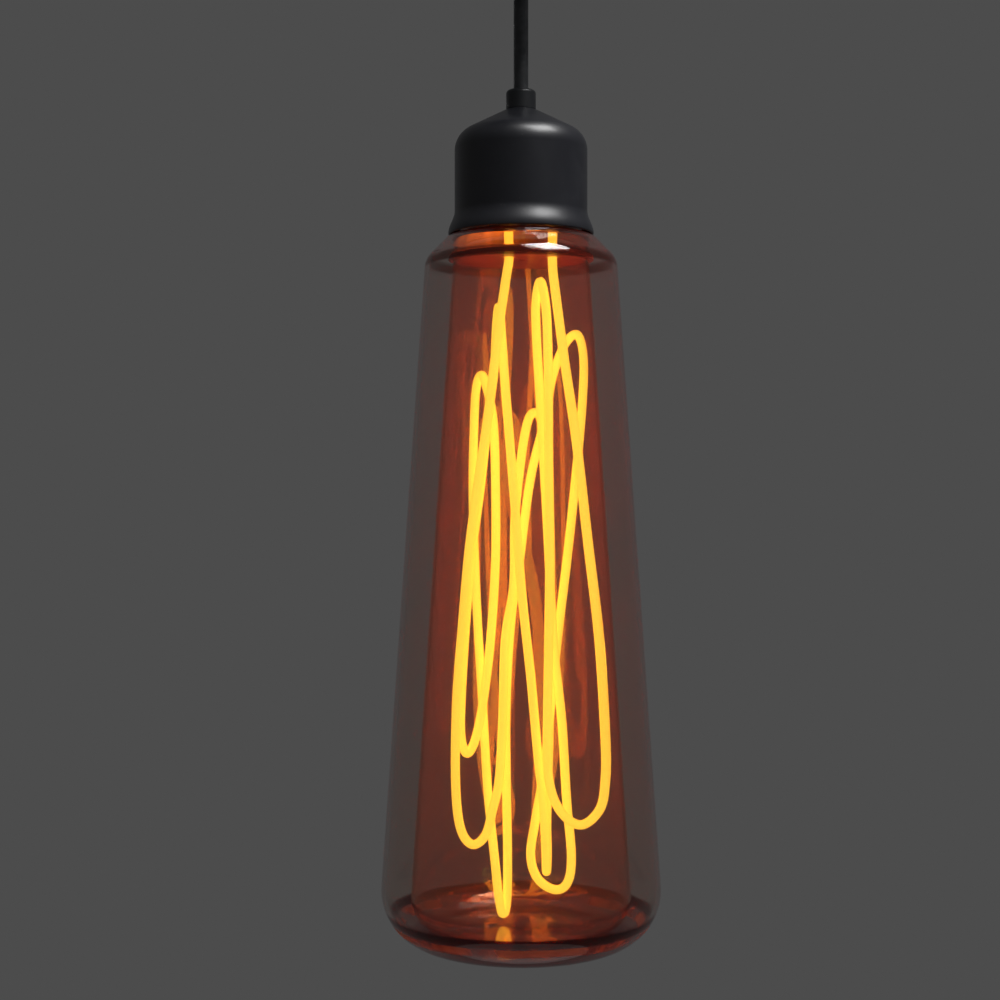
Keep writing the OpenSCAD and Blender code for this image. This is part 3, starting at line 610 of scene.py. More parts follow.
@dataclass(frozen=True)
class PaintedGlowGlass(TintedGlass):
    """Tinted glass close to the filament's hotter leg, with a painted glow: emission in the glass
    that stands in for the leg's light.

    Fields:
        leg: the leg's hottest point.
        painted_glow_colour: the painted glow's colour.
        reach: how far from the leg the painted glow is still full.
        glow_streak_size: the width of a streak in the painted glow.
    """

    leg: Point = (-0.005, -0.009, -0.148)
    painted_glow_colour: Colour = (1.0, 0.2, 0.012)
    reach: float = 0.0155
    glow_streak_size: float = 0.004

    def painted_glow_sockets(self, graph: Graph) -> Dict[str, Input]:
        """The sockets for the painted glow: emission that falls off steeply with the distance from
        the leg.
        """
        x, y, z = graph.axes(graph.place(centre=self.leg))
        # painted glow: emission in the glass standing in for the filament leg's light
        near = self.reach**2 / (x * x + y * y + z * z)
        down = graph.place(scale=(1.0, 1.0, 0.1))
        streak = graph.noise(down, self.glow_streak_size, 2.0).between(0.3, 0.8)
        amount = near**4 * (0.6 + streak * 0.8)
        return {"Emission Color": graph.tint(amount, BLACK, self.painted_glow_colour), "Emission Strength": 1.0}


@dataclass(frozen=True)
class Glow(Finish):
    """The filament's sleeve at work: white-yellow along its middle, orange at its limbs."""

    core: Colour = (2.45, 1.72, 0.175)
    dim: Colour = (0.5, 0.3, 0.1)
    coat: Colour = (0.9, 0.6, 0.15)
    coat_between: Colour = (0.7, 0.4, 0.08)
    lacquer: Colour = (0.98, 0.87, 0.8)
    turn: float = 0.0011
    drift_size: float = 0.02

    def shade(self, graph: Graph) -> Field:
        """Draws the light, a little weaker between the turns of the wire in the sleeve."""
        along = graph.add("ShaderNodeAttribute", {"attribute_name": "along"}).out("Fac")
        wire = (along * (2.0 * math.pi / self.turn)).sine() * 0.5 + 0.5
        drift = graph.noise(graph.place(), self.drift_size, 2.0)
        light = graph.tint(wire * 0.12 + drift * 0.12, self.core, self.dim, Blend.MULTIPLY)
        values = {
            "Base Color": graph.tint(wire * 0.3, self.coat, self.coat_between),
            "Roughness": 0.35 + wire * 0.1,
            "Coat Weight": 1.0,
            "Coat Roughness": 0.2,
            "Coat IOR": 1.1,
            "Coat Tint": self.lacquer,
            "Emission Color": light,
            "Emission Strength": 1.0,
        }
        return graph.principled(values)


@dataclass(frozen=True)
class GlowPaintedMetal(DrawnMetal):
    """Drawn metal with a painted glow: dull orange emission where it meets the filament, standing
    in for the filament's light on it.
    """

    glow: Colour = (1.0, 0.28, 0.02)
    power: float = 1.2
    glow_gone_z: float = -0.138
    glow_full_z: float = -0.1435
    mottle_size: float = 0.002

    def shade(self, graph: Graph) -> Field:
        """Draws the metal and its painted glow, which fades upwards."""
        metal = super().shade(graph)
        sockets = metal.socket.node.inputs
        # painted glow: orange emission that fades upwards from the filament's ends
        painted_glow_share = graph.axes(graph.place())[2].between(self.glow_gone_z, self.glow_full_z)
        mottle = graph.noise(graph.place(), self.mottle_size, 2.0)
        glow = graph.tint(painted_glow_share * (mottle * 0.4 + 0.7), BLACK, self.glow)
        graph.fill(sockets["Emission Color"], glow)
        graph.fill(sockets["Emission Strength"], self.power)
        return metal


@dataclass(frozen=True)
class Enamel(Finish):
    """Dark red enamel of the mount plate: satin, with faint rings from its spinning."""

    colour: Colour = (0.62, 0.05, 0.012)
    dark: Colour = (0.36, 0.025, 0.008)
    ring_size: float = 0.0009
    ring_depth: float = 0.000008
    cloud_size: float = 0.012

    def shade(self, graph: Graph) -> Field:
        """Draws the enamel."""
        at = graph.place()
        x, y, _ = graph.axes(at)
        radius = (x * x + y * y) ** 0.5
        rings = (radius * (2.0 * math.pi / self.ring_size)).sine() * 0.5 + 0.5
        cloud = graph.noise(at, self.cloud_size)
        values = {
            "Base Color": graph.tint(cloud.between(0.3, 0.75), self.colour, self.dark),
            "Roughness": 0.3 + cloud * 0.15 + rings * 0.05,
            "Coat Weight": 0.25,
            "Coat Roughness": 0.12,
            "Normal": graph.bump(rings, self.ring_depth),
        }
        return graph.principled(values)


@dataclass(frozen=True)
class Palette:
    """Every finish of the lamp."""

    paint: Finish = BlackPaint("satin_black_paint", Slot.PAINT)
    zinc: Finish = DrawnMetal("zinc_plate", Slot.ZINC)
    brass: Finish = DrawnMetal("turned_brass", Slot.BRASS, BRASS, OLD_BRASS)
    nickel: Finish = DrawnMetal(
        "rolled_nickel", Slot.NICKEL, (0.66, 0.64, 0.58), (0.45, 0.43, 0.38),
    )
    spring: Finish = DrawnMetal(
        "spring_wire", Slot.SPRING, (0.6, 0.61, 0.63), (0.4, 0.4, 0.42), gloss=0.2,
    )
    # the lead wires and the ferrules carry a painted glow near the filament
    wire: Finish = GlowPaintedMetal(
        "lead_in_wire_painted_glow", Slot.WIRE, (0.5, 0.47, 0.42), (0.3, 0.27, 0.24), gloss=0.25,
    )
    ferrule: Finish = GlowPaintedMetal("ferrules_painted_glow", Slot.BRASS, BRASS, OLD_BRASS, power=0.5)
    porcelain: Finish = Glaze(
        "brown_glazed_porcelain", Slot.PORCELAIN, (0.05, 0.020, 0.010), (0.022, 0.008, 0.005),
    )
    vitrite: Finish = Glaze(
        "black_vitrite", Slot.VITRITE, (0.012, 0.009, 0.014), (0.02, 0.015, 0.022),
    )
    block: Finish = Moulding(
        "ivory_block", Slot.BLOCK, (0.66, 0.63, 0.54), (0.58, 0.54, 0.44), gloss=0.38,
    )
    grip: Finish = Moulding("black_grip", Slot.GRIP)
    sheath: Finish = Sheath("black_sheath", Slot.SHEATH)
    brown: Finish = Sheath(
        "brown_core", Slot.BROWN, (0.16, 0.055, 0.02), (0.2, 0.075, 0.03), gloss=0.35,
    )
    blue: Finish = Sheath(
        "blue_core", Slot.BLUE, (0.02, 0.09, 0.32), (0.03, 0.12, 0.38), gloss=0.35,
    )
    cement: Finish = Chalky("cap_cement", Slot.CEMENT)
    solder: Finish = Chalky(
        "contact_solder", Slot.SOLDER, (0.62, 0.61, 0.58), (0.4, 0.39, 0.37), metal=1.0, gloss=0.45,
    )
    smoked: Finish = TintedGlass(
        "smoked_glass", Slot.SMOKED, haze=0.02,
        lit_seam=GlassBand(-0.4253, 0.0016, (1.0, 0.27, 0.13)),
        # painted shade: the dark rings at the heel and at the shoulder bend
        painted_shade_bands=(
            GlassBand(-0.4275, 0.0048, (0.76, 0.44, 0.42)),
            GlassBand(-0.4214, 0.0017, (0.18, 0.016, 0.013)),
            GlassBand(-0.4326, 0.0020, (0.36, 0.10, 0.11)),
            GlassBand(-0.1545, 0.0018, (0.30, 0.21, 0.18)),
        ),
    )
    # painted glow: the collar's glass gives off emission near the filament's leg
    collar: Finish = PaintedGlowGlass(
        "painted_glow_collar_glass", Slot.AMBER, (0.98, 0.85, 0.7), (0.98, 0.8, 0.6), (0.85, 0.2, 0.1),
        haze_colour=(1.0, 0.05, 0.015), haze=0.10, top_z=-0.15,
    )
    amber: Finish = TintedGlass(
        "amber_glass", Slot.AMBER, (0.96, 0.99, 0.99), (0.98, 1.0, 1.0), (0.5, 0.4, 0.4),
        density=10.0, haze_colour=(0.95, 0.14, 0.13), haze=0.05, lustre=0.135, top_z=-0.15,
    )
    clear: Finish = TintedGlass(
        "clear_stem_glass", Slot.CLEAR, (0.97, 0.98, 0.97), (0.96, 0.97, 0.96), (0.8, 0.85, 0.8),
        density=20.0,
    )
    plate: Finish = Enamel("plate_enamel", Slot.PLATE)
    glow: Finish = Glow("filament_glow", Slot.GLOW)


# Meshes


CREASE = 38.0
TINY = 1e-9
SIDE_ROWS = 40
FOOT_ROWS = 8


def arc(x: float, z: float, r: float, start: float, stop: float, steps: int) -> Outline:
    """Points of an arc round (x, z), in degrees from start to stop."""
    turn = [math.radians(start + (stop - start) * k / steps) for k in range(steps + 1)]
    return [(x + r * math.cos(a), z + r * math.sin(a)) for a in turn]


def straight(start: Sequence[float], stop: Sequence[float], steps: int) -> Outline:
    """Points along a straight side, with its start and without its stop."""
    (x, z), (x1, z1) = start, stop
    return [(x + (x1 - x) * k / steps, z + (z1 - z) * k / steps) for k in range(steps)]


def ring_point(r: float, z: float, angle: float) -> Point:
    """A point in metres, at a radius and a height in millimetres and an angle in radians."""
    return (r * math.cos(angle) * MM, r * math.sin(angle) * MM, z * MM)


def softened(line: Outline, reach: float, steps: int = 6) -> Outline:
    """Rounds the inner corners of an open outline.

    Args:
        line: its points.
        reach: how far from a corner the rounding starts, at most half of a side.
        steps: how many points a rounding has, less one.

    Returns:
        The rounded outline, with the same two ends.
    """
    made: Outline = [line[0]]
    for before, here, after in zip(line, line[1:], line[2:]):
        b = np.array(here, float)
        start, stop = (
            b + (p - b) / max(np.linalg.norm(p - b), TINY) * min(reach, np.linalg.norm(p - b) / 2)
            for p in (np.array(before, float), np.array(after, float))
        )
        for k in range(steps + 1):
            t = k / steps
            p = start * (1 - t) ** 2 + 2 * b * t * (1 - t) + stop * t * t
            made.append((float(p[0]), float(p[1])))
    made.append(line[-1])
    return made


def moved_in(line: Outline, wall: float) -> Outline:
    """An open outline moved to its left-hand side by wall, point by point."""
    points = np.array(line, float)
    along = np.gradient(points, axis=0)
    along /= np.maximum(np.linalg.norm(along, axis=1), TINY)[:, None]
    left = np.stack([-along[:, 1], along[:, 0]], axis=1)
    return [(float(x), float(z)) for x, z in points + left * wall]


def new_object(name: str, mesh: bpy.types.Mesh) -> bpy.types.Object:
    """Puts a mesh into the scene as an object at the origin."""
    made = bpy.data.objects.new(name, mesh)
    bpy.context.scene.collection.objects.link(made)
    return made


def outward(made: bpy.types.Object, crease: float = CREASE) -> bpy.types.Object:
    """Turns a closed mesh's faces outwards and shades it softly, up to a crease in degrees."""
    work = bmesh.new()
    work.from_mesh(made.data)
    bmesh.ops.recalc_face_normals(work, faces=work.faces)
    work.to_mesh(made.data)
    work.free()
    made.data.shade_smooth()
    made.data.set_sharp_from_angle(angle=math.radians(crease))
    return made


def closed_mesh(
    name: str, points: Sequence[Point], faces: Sequence[Sequence[int]], crease: float = CREASE
) -> bpy.types.Object:
    """Makes an object from points in metres, with outward faces and soft shading.

    Args:
        name: the piece's name.
        points: the vertices.
        faces: the faces as vertex numbers.
        crease: edges sharper than this many degrees stay sharp.

    Returns:
        The new object.
    """
    mesh = bpy.data.meshes.new(name)
    mesh.from_pydata(points, [], faces)
    return outward(new_object(name, mesh), crease)


def lathe(
    name: str, outline: Outline, sides: int = 160, crease: float = CREASE
) -> bpy.types.Object:
    """Turns a closed outline in millimetres round the Z axis.

    Args:
        name: the piece's name.
        outline: (radius, height) points in order round the section.
        sides: how many columns the mesh has.
        crease: edges sharper than this many degrees stay sharp.

    Returns:
        The new object, closed, with single points on the axis.
    """
    points: List[Point] = []
    rows: List[List[int]] = []
    for r, z in outline:
        if r < TINY:
            rows.append([len(points)] * sides)
            points.append((0.0, 0.0, z * MM))
            continue
        rows.append(list(range(len(points), len(points) + sides)))
        points += [ring_point(r, z, 2.0 * math.pi * k / sides) for k in range(sides)]
    faces = []
    for row, following in zip(rows, rows[1:] + rows[:1]):
        for k in range(sides):
            m = (k + 1) % sides
            corners = [row[k], row[m], following[m], following[k]]
            face = [v for i, v in enumerate(corners) if v != corners[i - 1]]
            if len(face) > 2:
                faces.append(face)
    return closed_mesh(name, points, faces, crease)


def evaluated(source: bpy.types.Object, name: str) -> bpy.types.Object:
    """Turns an object with its modifiers into a new plain mesh object, and drops the source."""
    graph = bpy.context.evaluated_depsgraph_get()
    mesh = bpy.data.meshes.new_from_object(source.evaluated_get(graph), depsgraph=graph)
    source.modifiers.clear()
    bpy.data.objects.remove(source)
    mesh.name = name
    return new_object(name, mesh)


# Geometry-node trees


class TreeKind(Enum):
    """The node trees that make pieces which repeat or follow a line."""

    TUBE = "tube along a route"
    COIL = "coil of wire"
    SCREWS = "screws at points"


class PieceTree:
    """A geometry-node tree with named inputs, and the way to run it."""

    def __init__(self, kind: TreeKind) -> None:
        """Makes the tree of that kind."""
        self.tree = bpy.data.node_groups.new(kind.value, "GeometryNodeTree")
        self.graph = Graph(self.tree)
        self._socket("Geometry", "Geometry", "INPUT")
        self._socket("Geometry", "Geometry", "OUTPUT")
        {
            TreeKind.TUBE: self._draw_tube,
            TreeKind.COIL: self._draw_coil,
            TreeKind.SCREWS: self._draw_screws,
        }[kind]()

    def _socket(self, name: str, kind: str, side: str = "INPUT") -> None:
        """Adds one socket to the tree's outside."""
        self.tree.interface.new_socket(name=name, in_out=side, socket_type=f"NodeSocket{kind}")

    def _inputs(self, **kinds: str) -> Callable[[str], Field]:
        """Gives the tree its named inputs.

        Args:
            kinds: the kind of socket for each name, with _ where the name has a space.

        Returns:
            The way to one of the inputs by its name.
        """
        for name, kind in kinds.items():
            self._socket(name.replace("_", " "), kind)
        return self.graph.add("NodeGroupInput").out

    def _end(self, geometry: Field, finish: Field) -> None:
        """Ends the tree: soft shading, real geometry, a material."""
        soft = self.graph.add("GeometryNodeSetShadeSmooth", {}, {"Geometry": geometry})
        real = self.graph.add("GeometryNodeRealizeInstances", {}, {"Geometry": soft})
        values = {"Geometry": real, "Material": finish}
        dressed = self.graph.add("GeometryNodeSetMaterial", {}, values)
        self.graph.add("NodeGroupOutput", {}, {"Geometry": dressed})

    def _swept(self, curve: Field, radius: Field, sides: Field) -> Field:
        """Sweeps a round section along a curve, and keeps the length along it as an attribute."""
        g = self.graph
        kept = g.add(
            "GeometryNodeStoreNamedAttribute",
            {"data_type": "FLOAT", "domain": "POINT"},
            {
                "Geometry": curve,
                "Name": "along",
                "Value": g.add("GeometryNodeSplineParameter").out("Length"),
            },
        )
        values = {"Resolution": sides, "Radius": radius}
        ring = g.add("GeometryNodeCurvePrimitiveCircle", {}, values)
        values = {"Curve": kept, "Profile Curve": ring, "Fill Caps": True}
        return g.add("GeometryNodeCurveToMesh", {}, values)

    def _draw_tube(self) -> None:
        """A smooth tube through the base mesh's points."""
        given = self._inputs(Radius="Float", Sides="Int", Steps="Int", Finish="Material")
        g = self.graph
        line = g.add("GeometryNodeMeshToCurve", {}, {"Mesh": given("Geometry")})
        settings = {"spline_type": "CATMULL_ROM"}
        spline = g.add("GeometryNodeCurveSplineType", settings, {"Curve": line})
        values = {"Geometry": spline, "Resolution": given("Steps")}
        fine = g.add("GeometryNodeSetSplineResolution", {}, values)
        drawn = g.add("GeometryNodeResampleCurve", {"mode": "EVALUATED"}, {"Curve": fine})
        self._end(self._swept(drawn, given("Radius"), given("Sides")), given("Finish"))

    def _draw_coil(self) -> None:
        """A round wire wound into a coil that starts at a base height."""
        given = self._inputs(
            Coil_Radius="Float", Height="Float", Turns="Float", Wire_Radius="Float",
            Base_Height="Float", Sides="Int", Finish="Material",
        )
        g = self.graph
        values = {
            "Resolution": 28,
            "Rotations": given("Turns"),
            "Start Radius": given("Coil Radius"),
            "End Radius": given("Coil Radius"),
            "Height": given("Height"),
        }
        wound = g.add("GeometryNodeCurveSpiral", {}, values)
        lift = g.add("ShaderNodeCombineXYZ", {}, {"Z": given("Base Height")})
        placed = g.add("GeometryNodeTransform", {}, {"Geometry": wound, "Translation": lift})
        self._end(self._swept(placed, given("Wire Radius"), given("Sides")), given("Finish"))

    def _draw_screws(self) -> None:
        """One screw on each point, aimed by the point's own direction, its slot at any angle."""
        given = self._inputs(Screw="Object", Finish="Material", Seed="Int")
        g = self.graph
        pattern = g.add("GeometryNodeObjectInfo", {}, {"Object": given("Screw")}).out("Geometry")
        settings = {"data_type": "FLOAT_VECTOR"}
        aim = g.add("GeometryNodeInputNamedAttribute", settings, {"Name": "aim"})
        facing = g.add("FunctionNodeAlignRotationToVector", {"axis": "Z"}, {"Vector": aim})
        values = {2: 0.0, 3: math.pi, "Seed": given("Seed")}
        angle = g.add("FunctionNodeRandomValue", {"data_type": "FLOAT"}, values, out=1)
        values = {"Axis": (0.0, 0.0, 1.0), "Angle": angle}
        spin = g.add("FunctionNodeAxisAngleToRotation", {}, values)
        values = {"Rotation": facing, "Rotate By": spin}
        turned = g.add("FunctionNodeRotateRotation", {"rotation_space": "LOCAL"}, values)
        values = {"Points": given("Geometry"), "Instance": pattern, "Rotation": turned}
        self._end(g.add("GeometryNodeInstanceOnPoints", {}, values), given("Finish"))

    def _key(self, name: str) -> str:
        """The identifier of one of the tree's inputs."""
        for item in self.tree.interface.items_tree:
            if item.item_type == "SOCKET" and item.in_out == "INPUT" and item.name == name:
                return item.identifier
        raise KeyError(name)

    def run(self, name: str, base: bpy.types.Mesh, inputs: Dict[str, Input]) -> bpy.types.Object:
        """Runs the tree on a base mesh and keeps the result as a plain mesh.

        Args:
            name: the piece's name.
            base: the mesh that the tree reads.
            inputs: a value for each named input.

        Returns:
            The finished piece, with no modifier.
        """
        source = new_object(name + ".base", base)
        modifier = source.modifiers.new("tree", "NODES")
        modifier.node_group = self.tree
        for label, value in inputs.items():
            modifier[self._key(label)] = value
        return evaluated(source, name)


def point_mesh(points: Sequence[Point], joined: bool = False) -> bpy.types.Mesh:
    """A mesh of points in millimetres, loose or joined in a row."""
    mesh = bpy.data.meshes.new("points")
    edges = [(k, k + 1) for k in range(len(points) - 1)] if joined else []
    mesh.from_pydata([tuple(c * MM for c in p) for p in points], edges, [])
    return mesh


@dataclass(frozen=True)
class ScrewPattern:
    """A pan-head screw with a slot or a cross, in millimetres.

    Fields:
        diameter: over the thread.
        length: from under the head to the tip.
        cross: whether the head has a cross, not a slot.
    """

    diameter: float
    length: float
    cross: bool = True
    head_r_share: float = 0.87
    head_h_share: float = 0.55
    root_share: float = 0.86
    pitch_share: float = 0.18
    tip: float = 0.25
    plain: float = 0.3
    sides: int = 28

    def make(self) -> bpy.types.Object:
        """The screw, its seat at the origin and its head up, with grooves for its thread."""
        head_r = self.diameter * self.head_r_share
        head_h = self.diameter * self.head_h_share
        edge = head_h * 0.55
        shank = self.diameter / 2
        root = shank * self.root_share
        pitch = self.diameter * self.pitch_share
        line: Outline = [(0.0, -self.length), (shank * 0.8, -self.length)]
        for k in range(int((self.length - self.plain * 2) / pitch)):
            z = -self.length + self.tip + k * pitch
            line += [(root, z), (shank, z + pitch * 0.5)]
        line += [(root, -self.plain), (root, 0.0), (head_r * 0.96, 0.0)]
        line += arc(head_r - edge, head_h - edge, edge, 0, 90, 6)
        line += [(0.0, head_h)]
        body = lathe("screw.pattern", line, self.sides, 30.0)
        reach = head_r * (0.6 if self.cross else 1.3)
        for turn in (0.0, math.pi / 2) if self.cross else (0.0,):
            cutter = self._bar(reach, self.diameter * 0.15, head_h - edge, head_h + 1.0, turn)
            modifier = body.modifiers.new("slot", "BOOLEAN")
            modifier.operation = "DIFFERENCE"
            modifier.object = cutter
            modifier.solver = "EXACT"
            body = evaluated(body, "screw.pattern")
            bpy.data.objects.remove(cutter)
        return body

    @staticmethod
    def _bar(reach: float, half: float, low: float, high: float, turn: float) -> bpy.types.Object:
        """A bar that cuts a slot, between two heights and turned in radians."""
        flat = [(-reach, -half), (reach, -half), (reach, half), (-reach, half)]
        c, s = math.cos(turn), math.sin(turn)
        corners = [
            ((x * c - y * s) * MM, (x * s + y * c) * MM, z * MM)
            for z in (low, high)
            for x, y in flat
        ]
        sides = [(k, (k + 1) % 4, (k + 1) % 4 + 4, k + 4) for k in range(4)]
        return closed_mesh("screw.bar", corners, [(0, 3, 2, 1), (4, 5, 6, 7)] + sides)


class Workshop:
    """What every sub-assembly needs: the frame, the finishes and the node trees."""

    def __init__(self, frame: Dict[str, Any]) -> None:
        """Keeps the loaded frame and makes the trees."""
        self.frame = frame
        self.palette = Palette()
        self.trees = {kind: PieceTree(kind) for kind in TreeKind}
        self.count = 0

    def _coat(self, made: bpy.types.Object, finish: Finish) -> None:
        """Gives an object one finish."""
        made.data.materials.clear()
        made.data.materials.append(finish.material())
        self.count += 1
        LOG.info("%s: %d faces, %s", made.name, len(made.data.polygons), finish.name)

    def keep(self, made: bpy.types.Object, finish: Finish, body: Body, node: str) -> None:
        """Gives a finished piece its finish and its body, and hides the CAD node that it stands
        for.

        Args:
            made: the piece.
            finish: its finish.
            body: the body it rides on.
            node: the CAD node it replaces.
        """
        self._coat(made, finish)
        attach(made, body.value)
        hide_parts(node)

    def dress(self, finish: Finish, *nodes: str) -> None:
        """Gives CAD nodes that stay in view their finish."""
        for node in nodes:
            self._coat(self.frame["nodes"][node], finish)

    def tube(
        self, name: str, points: Sequence[Point], radius: float, finish: Finish,
        sides: int, steps: int,
    ) -> bpy.types.Object:
        """A tube through points.

        Args:
            name: the piece's name.
            points: its route in millimetres.
            radius: its radius in millimetres.
            finish: its finish.
            sides: how many sides its section has.
            steps: how many rings stand between two points.

        Returns:
            The new piece, not yet on a body.
        """
        inputs = {
            "Radius": radius * MM,
            "Sides": sides,
            "Steps": steps,
            "Finish": finish.material(),
        }
        return outward(self.trees[TreeKind.TUBE].run(name, point_mesh(points, joined=True), inputs))

    def screws(
        self, node: str, pattern: ScrewPattern, seats: Sequence[Point], aims: Sequence[Point],
        finish: Finish, body: Body, seed: int,
    ) -> None:
        """Builds the screws of one pattern that stand for one CAD node.

        Args:
            node: the CAD node, whose name ends in screws.
            pattern: their pattern.
            seats: where the heads sit, in millimetres.
            aims: which way each head looks.
            finish: their finish.
            body: the body they ride on.
            seed: fixes the slots' angles.
        """
        base = point_mesh(seats)
        aim = base.attributes.new("aim", "FLOAT_VECTOR", "POINT")
        aim.data.foreach_set("vector", np.array(aims, np.float32).ravel())
        screw = pattern.make()
        inputs = {"Screw": screw, "Finish": finish.material(), "Seed": seed}
        name = node.removesuffix("s") + "_heads"
        made = self.trees[TreeKind.SCREWS].run(name, base, inputs)
        bpy.data.objects.remove(screw)
        self.keep(outward(made, 30.0), finish, body, node)


# Sizes shared by the sub-assemblies


@dataclass(frozen=True)
class Levels:
    """Heights of the lamp's main faces, in millimetres below the ceiling."""

    rose: float = -25.0
    swing: float = -35.0
    tilt: float = -84.0
    cup: float = -92.1
    ceiling: float = -97.4
    insert: float = -105.0
    floor: float = -107.5
    face: float = -111.5
    shell_top: float = -115.6
    cap_rim: float = -136.6
    neck: float = -128.6
    rim: float = -143.4
    plate: float = -153.9
    inner: float = -427.1
    glass: float = -434.4


LEVELS = Levels()
UP: Point = (0.0, 0.0, 1.0)
DOWN: Point = (0.0, 0.0, -1.0)


# Sub-assemblies


@dataclass
class PendantCord:
    """The cord's free stretch between the two grips, held taut by the lamp's weight."""

    diameter: float = 6.0
    ball_angles: Tuple[float, ...] = (88.0, 70.0, 50.0, 30.0, 12.0, 0.0)
    rings: int = 36
    sides: int = 40

    def outline(self) -> Outline:
        """(radius, height) of each ring, from the upper ball to the lower one."""
        r = self.diameter / 2
        ball = [(r * math.cos(a), r * math.sin(a)) for a in map(math.radians, self.ball_angles)]
        upper = [(x, LEVELS.swing + z) for x, z in ball]
        lower = [(x, LEVELS.tilt - z) for x, z in reversed(ball)]
        return upper + straight((r, LEVELS.swing), (r, LEVELS.tilt), self.rings)[1:] + lower

    def build(self, shop: Workshop) -> None:
        rings = self.outline()
        top, foot = rings[0][1], rings[-1][1]
        made = lathe("cord_sheath", [(0.0, top), *rings, (0.0, foot)], self.sides, 60.0)
        shop.keep(made, shop.palette.sheath, Body.CORD, "pendant_cord")


@dataclass
class CordEnds:
    """The cord's cut ends inside the two grips, and the four cores that leave them.

    A route's points are across, along, and a share of the way from the cut end to the terminal.
    """

    core_r: float = 0.95
    sides: int = 20
    steps: int = 8
    rose_cut: float = LEVELS.rose + 3.7
    rose_rise: float = 13.7
    rose_route: Tuple[Point, ...] = (
        (1.1, 0.0, 0.03), (1.1, 0.0, 0.08), (1.4, -1.4, 0.18), (2.6, -5.0, 0.3),
        (4.8, -9.5, 0.46), (6.5, -12.0, 0.7), (7.0, -11.4, 0.93), (7.0, -9.4, 1.0),
        (7.0, -5.5, 1.0),
    )
    lamp_cut: float = LEVELS.insert + 6.0
    lamp_drop: float = 3.7
    lamp_route: Tuple[Point, ...] = (
        (0.0, 1.3, 0.03), (0.0, 1.3, 0.2), (0.0, 1.7, 0.5), (0.0, 2.9, 0.82),
        (0.0, 5.0, 0.95), (0.0, 9.0, 1.0), (0.0, 12.6, 1.0),
    )

    def build(self, shop: Workshop) -> None:
        """Builds the four cores and dresses the two cut ends."""
        shop.dress(shop.palette.sheath, "rose_cord_end", "lamp_cord_end")
        p = shop.palette
        rise, drop = self.rose_rise, self.lamp_drop
        for side, pole, finish in ((1, "live", p.brown), (-1, "neutral", p.blue)):
            rose = [(side * x, y, self.rose_cut + s * rise) for x, y, s in self.rose_route]
            lamp = [(x, side * y, self.lamp_cut - s * drop) for x, y, s in self.lamp_route]
            for node, route, body in (
                (f"rose_core_{pole}", rose, Body.ROSE),
                (f"core_{pole}", lamp, Body.HOLDER),
            ):
                made = shop.tube(
                    node + "_sheath", route, self.core_r, finish, self.sides, self.steps
                )
                shop.keep(made, finish, body, node)


@dataclass
class CeilingRose:
    """The rose that holds the cord at the ceiling."""

    side_x: float = 50.05
    side_z: float = -9.0
    side_screw: ScrewPattern = ScrewPattern(3.8, 6.0, cross=False)
    block_y: float = 4.0
    block_z: float = -13.6
    block_screw: ScrewPattern = ScrewPattern(2.5, 13.5)

    def build(self, shop: Workshop) -> None:
        """Dresses the rose and the fittings inside it, and builds their screws."""
        p = shop.palette
        shop.dress(p.paint, "rose_cover")
        shop.dress(p.grip, "rose_cord_grip")
        shop.dress(p.zinc, "rose_bracket", "rose_nipple", "rose_lock_nut", "rose_terminal_screws")
        shop.dress(p.block, "rose_terminal_block")
        shop.dress(p.brass, "rose_terminals")
        shop.screws(
            "rose_side_screws", self.side_screw,
            [(self.side_x, 0.0, self.side_z), (-self.side_x, 0.0, self.side_z)],
            [(1.0, 0.0, 0.0), (-1.0, 0.0, 0.0)], p.paint, Body.ROSE, seed=3,
        )
        shop.screws(
            "rose_block_screws", self.block_screw,
            [(0.0, self.block_y, self.block_z), (0.0, -self.block_y, self.block_z)],
            [DOWN] * 2, p.zinc, Body.ROSE, seed=5,
        )


@dataclass
class CordGrip:
    """The small black grip on top of the cup."""

    radius: float = 6.1
    height: float = 8.1
    bore: float = 3.3
    bore_edge: float = 0.3
    socket_r: float = 5.05
    socket_h: float = 6.0
    edge: float = 1.6
    bevel: float = 0.15

    def build(self, shop: Workshop) -> None:
        """Builds the grip with a soft upper edge and a bevelled foot."""
        base = LEVELS.cup
        top = base + self.height
        outline: Outline = [
            (self.socket_r, base),
            (self.radius - self.bevel, base), (self.radius, base + self.bevel),
        ]
        outline += arc(self.radius - self.edge, top - self.edge, self.edge, 0, 90, 16)
        outline += arc(self.bore + self.bore_edge, top - self.bore_edge, self.bore_edge, 90, 180, 5)
        outline += [(self.bore, base + self.socket_h), (self.socket_r, base + self.socket_h)]
        made = lathe("cord_grip_shell", outline, 96)
        shop.keep(made, shop.palette.grip, Body.HOLDER, "cord_grip")


